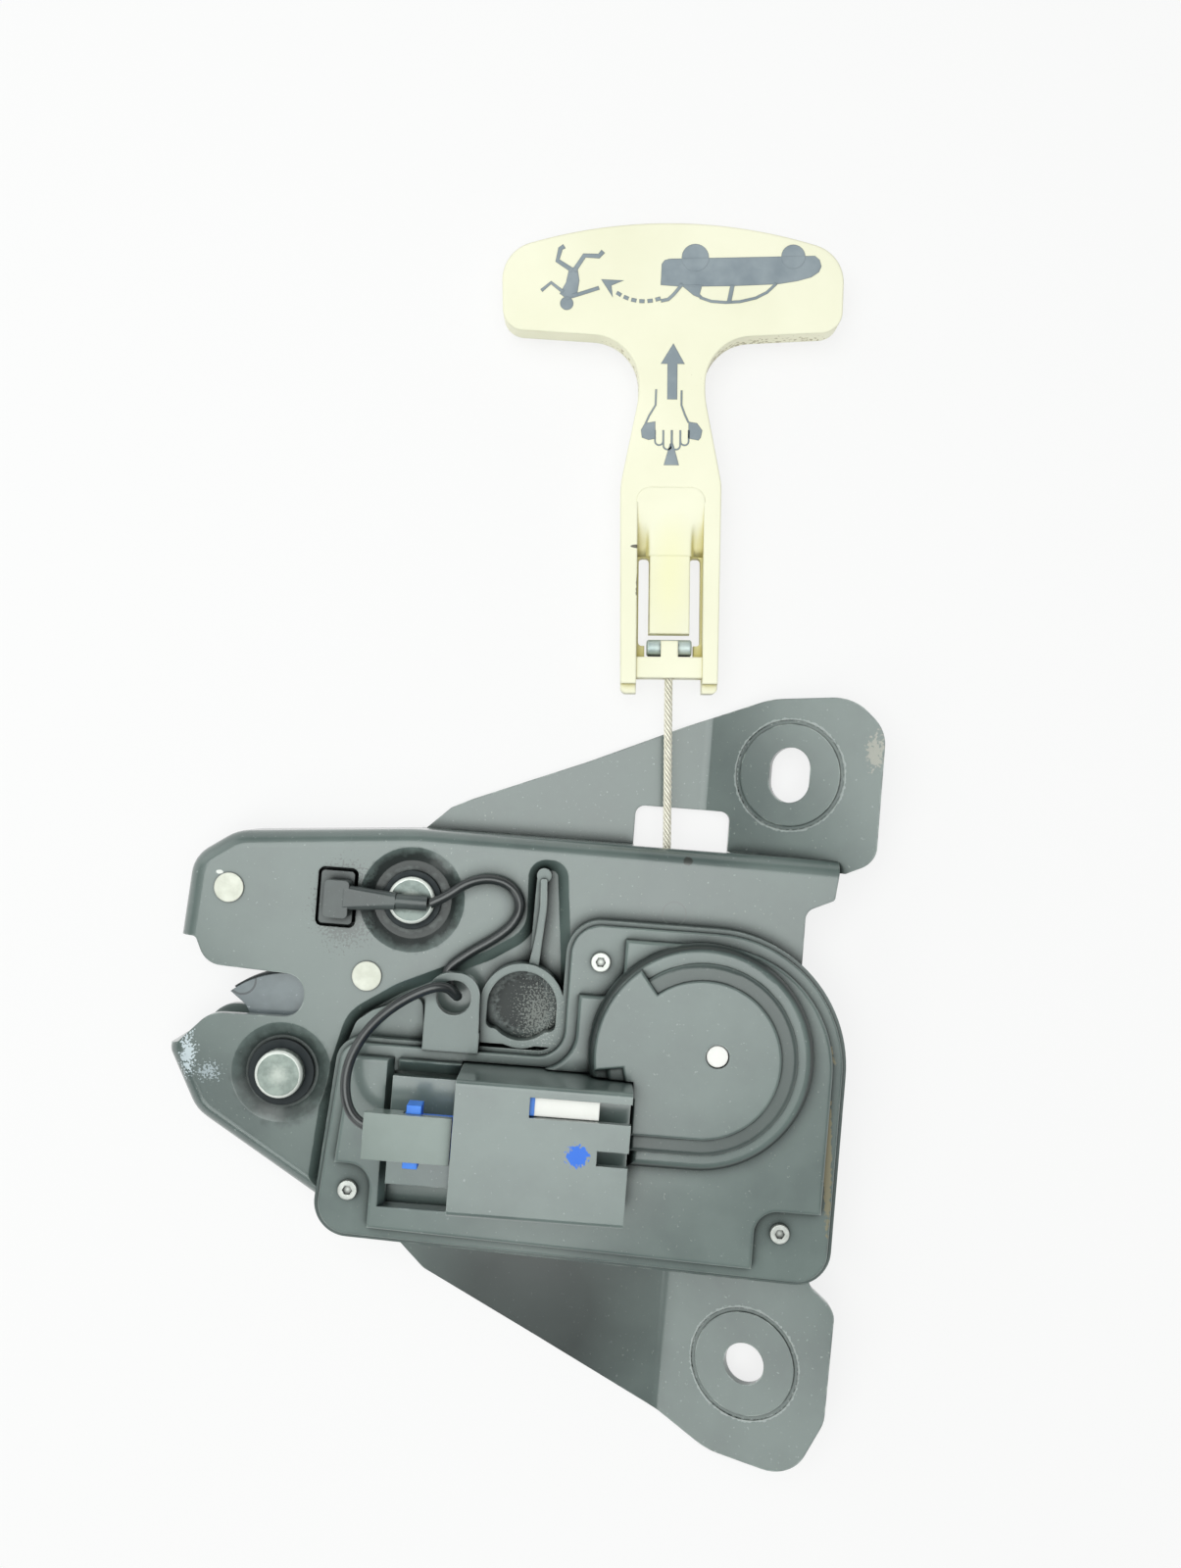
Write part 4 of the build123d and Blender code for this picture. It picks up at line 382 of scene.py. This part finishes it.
def make_piece(name, skins, body, material, smooth):
    """One object from several closed skins in millimetres, facing outwards and riding on a body."""
    corners, faces, start = [], [], 0
    for points, polygons in skins:
        corners.append(points * MM)
        faces += [[start + corner for corner in polygon] for polygon in polygons]
        start += len(points)
    mesh = bpy.data.meshes.new(name)
    mesh.from_pydata(np.concatenate(corners).tolist(), [], faces)
    work = bmesh.new()
    work.from_mesh(mesh)
    bmesh.ops.recalc_face_normals(work, faces=work.faces)
    work.to_mesh(mesh)
    work.free()
    mesh.polygons.foreach_set("use_smooth", np.full(len(mesh.polygons), smooth))
    mesh.materials.append(material)
    piece = bpy.data.objects.new(name, mesh)
    bpy.context.scene.collection.objects.link(piece)
    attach(piece, body)
    return piece


PULL = np.array(joints["handle_pull"]["axis"])
ACROSS = np.array([PULL[1], -PULL[0], 0.0])
UP = np.array([0.0, 0.0, 1.0])
CABLE_START = np.array([-23.376, 87.7, -0.4])
CABLE_LENGTH = 58.9
CORE_R, STRAND_R, STRAND_OUT, LAY = 0.4, 0.3, 0.59, 6.5
strands = []
along = np.linspace(0, CABLE_LENGTH, 260)[:, None, None]
around = np.linspace(0, 2 * np.pi, 8, endpoint=False)[None, :, None]
for strand in range(6):
    # centre = start + pull * s + out * (across cos a + up sin a), with a = 2 pi s / lay + its share
    turn = 2 * np.pi * along / LAY + strand * np.pi / 3
    outward = ACROSS * np.cos(turn) + UP * np.sin(turn)
    sideways = -ACROSS * np.sin(turn) + UP * np.cos(turn)
    tangent = PULL + STRAND_OUT * 2 * np.pi / LAY * sideways
    tangent /= np.linalg.norm(tangent, axis=-1, keepdims=True)
    middle = CABLE_START + PULL * along + STRAND_OUT * outward
    beside = np.cross(tangent, outward)
    strands.append(skin(middle + STRAND_R * (outward * np.cos(around) + beside * np.sin(around))))
core_line = CABLE_START + PULL * np.array([0.0, CABLE_LENGTH])[:, None, None]
strands.append(skin(core_line + CORE_R * (ACROSS * np.cos(around) + UP * np.sin(around))))
galvanised = finish("galvanised_wire", ("ebe6d4", "fdf9ea"), patch=0.9, rough=(0.30, 0.44), grain=0.4,
                    height=0.004, soft=0.05, metal=0.1, corner_shade=("5a5444", 0.4))
rope = make_piece("rope_strands", strands, "pull", galvanised, True)
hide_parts("release_cable")
die_cast = finish("die_cast_zinc", ("9fb1b0", "c6d3d0"), patch=4, rough=(0.34, 0.48), grain=0.4,
                  height=0.006, metal=0.3, edge_wear_and_highlight="e6ece8", corner_shade=("333a3c", 0.8))
wear(["cable_nipple", "handle_pin"], die_cast)

# Emergency handle: moulded in phosphorescent plastic, a satin cream with a yellow painted shade in its
# corners, and yellower down the channel. A nick and dirt mark the left rail, and dirt has caught under
# the grip.
glow_plastic = finish("phosphorescent_plastic", ("eeecd0", "f7f5dc"), patch=35, rough=(0.40, 0.50),
                      grain=0.7, height=0.004, soft=0.6, corner_shade=("cfc47c", 3.2))
patch_of(glow_plastic, (-28.6, 163.5, 0), (6.0, 17.0, 4), "f3f0bd", amount=0.7, ragged=0.3, grain=8.0,
         fade=0.8)
patch_of(glow_plastic, (-35.9, 168.6, 2), (1.5, 0.42, 1.2), "3c372a", amount=0.9, ragged=0.5, grain=0.6)
patch_of(glow_plastic, (-35.2, 163.0, 2), (0.32, 5.5, 1.2), "5a5340", amount=0.8, ragged=1.2, grain=0.7)
patch_of(glow_plastic, (-16.0, 205.5, -2.2), (20.0, 9.0, 2.2), "9a8d60", amount=0.7, ragged=5.0, grain=0.8)
wear(["emergency_handle"], glow_plastic)

# The tongue's root: moulded with the handle, where the channel's floor rises smoothly to the handle's
# face while a groove runs out on each side of it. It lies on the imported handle, whose floor is flat, and
# its places are given across and along the pull from the barrel.
BARREL = np.array([-27.5, 148.2, -0.4])
HANDLE_TOP = 2.6
CHANNEL_HALF, CORNER_R = 7.2, 3.0
ROOT_START, ROOT_END = 19.2, 33.4
RISE, RISE_END = 1.17, 31.0
TONGUE_HALF, GROOVE_SIDE = 4.2, 0.9
GROOVE_END, GROOVE_Z, ROOT_UNDER = 26.5, -0.1, -0.15
rows = np.linspace(ROOT_END, ROOT_START, 70)[:, None]
# half is the channel's half width, which closes in a quarter circle at its end
into_corner = np.clip(rows - ROOT_END + CORNER_R, 0, CORNER_R)
half = CHANNEL_HALF - (CORNER_R - np.sqrt(CORNER_R ** 2 - into_corner ** 2))
across = half * np.linspace(-1, 1, 81)[None, :]


def ease(share):
    """0 below 0, 1 above 1 and 3 t^2 - 2 t^3 between them."""
    share = np.clip(share, 0, 1)
    return share * share * (3 - 2 * share)


# level = face - rise * ease(how far down the rise), and the groove's share takes it down to GROOVE_Z
level = HANDLE_TOP + 0.015 - RISE * ease((RISE_END - rows) / (RISE_END - ROOT_START)) + 0 * across
groove = ease((GROOVE_END - rows) / (GROOVE_END - ROOT_START))
groove = groove * ease((np.abs(across) - TONGUE_HALF) / GROOVE_SIDE)
level -= groove * (level - GROOVE_Z)
top_line = np.stack([across, rows + 0 * across, level], axis=-1)
under = top_line[:, [-1, 0]] * (1, 1, 0) + (0, 0, ROOT_UNDER)
root = np.concatenate([top_line, under], axis=1) @ np.stack([ACROSS, PULL, UP]) + BARREL
make_piece("tongue_root", [skin(root)], "pull", glow_plastic, True)

# Signs on the handle: pad printed in one flat blue-grey ink, to be read with the handle hanging down,
# and built as skins of ink that stand 0.03 mm proud. They show a figure, its way out of a car, the
# car, and a hand that pulls a bar between two arrows.
INK = 0.03


def ink(outline, layer=0):
    """A skin of ink over a closed outline, given as (across, along the pull) from the barrel.

    Its sides go straight up from inside the handle, and each layer ends a little higher than the one
    before, so that no two share a face.
    """
    flat = np.array(outline)[:, :1] * ACROSS + np.array(outline)[:, 1:] * PULL + BARREL
    lift = np.array([HANDLE_TOP - INK, HANDLE_TOP + INK * (1 + 0.2 * layer)])[:, None, None]
    return skin(flat[None] + lift * UP)


def stroke(points, width):
    """Outline of a pen stroke: the points moved half a width to each side, along the normals there."""
    line = np.array(points, float)
    step = np.gradient(line, axis=0)
    step /= np.linalg.norm(step, axis=1, keepdims=True)
    side = np.stack([-step[:, 1], step[:, 0]], axis=1) * width / 2
    return np.concatenate([line + side, (line - side)[::-1]])


def arc(x, y, radius, start, end, count=24):
    """Points on a circle round (x, y), from one angle to another in degrees."""
    angle = np.radians(np.linspace(start, end, count))
    return np.stack([x + radius * np.cos(angle), y + radius * np.sin(angle)], axis=1)


printing_ink = finish("printing_ink", ("828e96", "929da4"), patch=5, rough=(0.40, 0.52), grain=0.5,
                      height=0.003)
figure = [
    ink(arc(-22.1, 71.4, 1.4, 0, 345)),
    ink([(-23.6, 73.4), (-22.3, 75.8), (-21.6, 79.0), (-19.9, 78.8), (-19.5, 76.2), (-20.0, 72.8),
         (-21.9, 72.2)], 1),
    ink(stroke([(-21.0, 78.3), (-24.1, 80.3), (-23.5, 82.8), (-22.7, 83.3)], 1.0), 2),
    ink(stroke([(-20.6, 78.2), (-18.5, 81.4), (-15.5, 81.3), (-14.6, 82.3)], 1.0), 3),
    ink(stroke([(-22.9, 73.8), (-25.4, 75.7), (-27.4, 74.0)], 0.7), 4),
    ink(stroke([(-20.9, 72.9), (-15.4, 74.7)], 0.8), 5),
]
make_piece("print_figure", figure, "pull", printing_ink, False)

# The way out: an arrow's head, and dashes on an arc behind it
WAY_X, WAY_Y, WAY_R = -6.1, 81.7, 9.7
DASH_HALF, DASH_WIDTH = 0.55, 0.8
way = [ink([(-15.0, 76.5), (-10.2, 76.3), (-12.8, 75.2), (-12.5, 72.7)])]
for count, spot in enumerate(arc(WAY_X, WAY_Y, WAY_R, 238, 288, 6)):
    heading = np.array([WAY_Y - spot[1], spot[0] - WAY_X]) / WAY_R
    way.append(ink(stroke([spot - DASH_HALF * heading, spot + DASH_HALF * heading], DASH_WIDTH), count))
make_piece("print_way_out", way, "pull", printing_ink, False)

# The car: its body, two wheels, the raised lid, the roof's line, a door post and the nose's line
car = [
    ink([(-2.6, 75.4), (-2.5, 77.4), (-2.4, 79.8), (-1.8, 80.6), (-0.8, 80.9), (29.5, 81.8), (30.5, 81.0),
         (30.9, 79.6), (30.4, 78.4), (28.8, 77.3), (26.0, 76.5), (21.9, 75.8), (12.0, 75.3), (1.7, 75.1)]),
    ink(arc(4.6, 81.2, 2.85, 0, 345), 1),
    ink(arc(25.0, 81.6, 2.5, 0, 345), 2),
    ink([(1.7, 75.4), (6.1, 75.5), (5.6, 73.6), (6.9, 72.3), (4.3, 73.3)], 3),
    ink(stroke([(5.6, 72.9), (8.0, 72.1), (11.0, 71.9), (14.0, 72.1), (17.3, 72.9), (19.6, 74.1),
                (21.5, 75.9)], 0.6), 4),
    ink(stroke([(12.4, 75.5), (11.7, 72.0)], 0.9), 5),
    ink(stroke([(1.9, 75.6), (0.2, 73.5), (-1.0, 72.4), (-2.5, 72.1)], 0.7), 6),
]
make_piece("print_car", car, "pull", printing_ink, False)

# The hand: the arrow ahead, the arrow behind, the bar's two ends, the wrist's lines and four fingers
KNUCKLES_Y = 45.2
FINGER_R, FINGER_LINE = 0.85, 0.35
hand = [
    ink([(0.2, 63.3), (2.6, 59.0), (1.1, 59.0), (1.1, 51.6), (-1.0, 51.6), (-1.0, 59.0), (-2.4, 59.0)]),
    ink([(0.35, 42.4), (1.6, 37.9), (-1.6, 37.9), (-0.35, 42.4)], 1),
    ink([(-5.6, 46.6), (-3.4, 47.0), (-3.4, 43.4), (-4.8, 43.1), (-6.2, 43.6), (-6.4, 45.2)], 2),
    ink([(3.5, 47.0), (5.3, 46.7), (6.4, 45.2), (6.1, 43.7), (5.6, 43.1), (3.5, 43.5)], 3),
    ink(stroke([(-3.3, 53.7), (-3.4, 50.4), (-4.7, 48.2), (-5.5, 46.4)], 0.4), 4),
    ink(stroke([(2.0, 53.5), (2.0, 50.4), (2.7, 48.5), (3.5, 46.8)], 0.4), 5),
]
for count, (x, low) in enumerate(((-2.6, 42.9), (-0.85, 42.0), (0.95, 42.0), (2.7, 42.9))):
    finger = np.concatenate([[(x - FINGER_R, KNUCKLES_Y)], arc(x, low, FINGER_R, 180, 360, 9),
                             [(x + FINGER_R, KNUCKLES_Y)]])
    hand.append(ink(stroke(finger, FINGER_LINE), count))
make_piece("print_hand", hand, "pull", printing_ink, False)

# Floor: a sheet of white paper under the latch. To the camera it is mostly its own white, so the
# background stays plain, and the rest of it takes the latch's soft shadow. From below it is clear, so
# that the latch's back can be looked at.
FLOOR_Z = -8.02
FLOOR_HALF = 3000.0
OWN_SHARE = 0.8
floor_mesh = bpy.data.meshes.new("floor")
floor_mesh.from_pydata([(x * FLOOR_HALF * MM, y * FLOOR_HALF * MM, FLOOR_Z * MM) for x, y in
                        ((-1, -1), (1, -1), (1, 1), (-1, 1))], [], [(0, 1, 2, 3)])
floor = bpy.data.objects.new("floor", floor_mesh)
bpy.context.scene.collection.objects.link(floor)
paper = bpy.data.materials.new("white_paper")
paper.use_nodes = True
tree = paper.node_tree
matte_paper = tree.nodes["Principled BSDF"]
for socket, value in (("Base Color", rgb("f4f4f3")), ("Roughness", 0.8), ("Specular IOR Level", 0.0)):
    matte_paper.inputs[socket].default_value = value
rays = add(tree, "LightPath").node.outputs
seen = add(tree, "Math", [(0, rays["Is Camera Ray"]), (1, rays["Is Glossy Ray"])], operation="MAXIMUM")
seen = add(tree, "Math", [(0, seen), (1, rays["Is Transmission Ray"])], operation="MAXIMUM")
share = add(tree, "Math", [(0, seen), (1, OWN_SHARE)], operation="MULTIPLY")
own_white = add(tree, "Emission", [("Color", rgb("fcfcfc")), ("Strength", 1.0)])
both = add(tree, "MixShader", [(0, share), (1, matte_paper.outputs[0]), (2, own_white)])
below = add(tree, "NewGeometry", out="Backfacing")
sheet = add(tree, "MixShader", [(0, below), (1, both), (2, add(tree, "BsdfTransparent"))])
tree.links.new(sheet, tree.nodes["Material Output"].inputs["Surface"])
floor_mesh.materials.append(paper)
floor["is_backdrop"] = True

# Light: a room with white walls and a dim ceiling that brightens overhead, and a softbox over the
# latch, which lies as a sheen on all that faces up. Two small ones stand on the left, one for the edges
# and one low down, which the lower bolt pad mirrors.
WALL_TOP, CEILING_RIM = 0.30, 0.44
LAMP_TINT = (0.955, 1.0, 0.975)
world = bpy.data.worlds.new("white_room")
world.use_nodes = True
tree = world.node_tree
toward = add(tree, "SeparateXYZ", [("Vector", add(tree, "TexCoord", out="Generated"))], "Z")
wall = add(tree, "MapRange", [("Value", toward), ("From Min", WALL_TOP), ("From Max", CEILING_RIM),
                              ("To Min", 1.0), ("To Max", 0.08)])
ceiling = add(tree, "MapRange", [("Value", toward), ("From Min", CEILING_RIM), ("To Max", 0.42)])
room = add(tree, "Math", [(0, wall), (1, ceiling)])
tree.links.new(room, tree.nodes["Background"].inputs["Strength"])
tree.nodes["Background"].inputs["Color"].default_value = (1, 1, 1, 1)
bpy.context.scene.world = world
middle = Vector([c * MM for c in (-50, 80, 0)])
for name, place, size, watts in (("key", (-110, 140, 600), (440, 600), 2.7),
                                 ("side", (-600, 450, 400), (400, 400), 0.6),
                                 ("low", (-360, -260, 440), (200, 200), 0.38)):
    lamp = bpy.data.lights.new(name, "AREA")
    lamp.shape = "RECTANGLE"
    lamp.size, lamp.size_y = [side * MM for side in size]
    lamp.energy = watts
    lamp.color = LAMP_TINT
    softbox = bpy.data.objects.new(name, lamp)
    softbox.location = [c * MM for c in place]
    softbox.rotation_euler = (middle - softbox.location).to_track_quat("-Z", "Y").to_euler()
    bpy.context.scene.collection.objects.link(softbox)

# Camera: straight above the latch, turned as the latch lies in the picture. It stands near, as a phone
# is held, so that tall pieces lean a little outwards.
CAMERA_PLACE = (-41.7, 118.5, 288.0)
CAMERA_TURN = 4.45
SENSOR, LENS = 36.0, 31.5
camera_data = bpy.data.cameras.new("camera")
camera_data.sensor_fit = "VERTICAL"
camera_data.sensor_height = SENSOR
camera_data.lens = LENS
camera_data.clip_start = 0.01
camera = bpy.data.objects.new("camera", camera_data)
camera.location = [c * MM for c in CAMERA_PLACE]
camera.rotation_euler = (0, 0, radians(CAMERA_TURN))
bpy.context.scene.collection.objects.link(camera)
bpy.context.scene.camera = camera
bpy.context.scene.view_settings.view_transform = "Standard"

# The box round all that is drawn, with the floor left out
low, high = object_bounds()
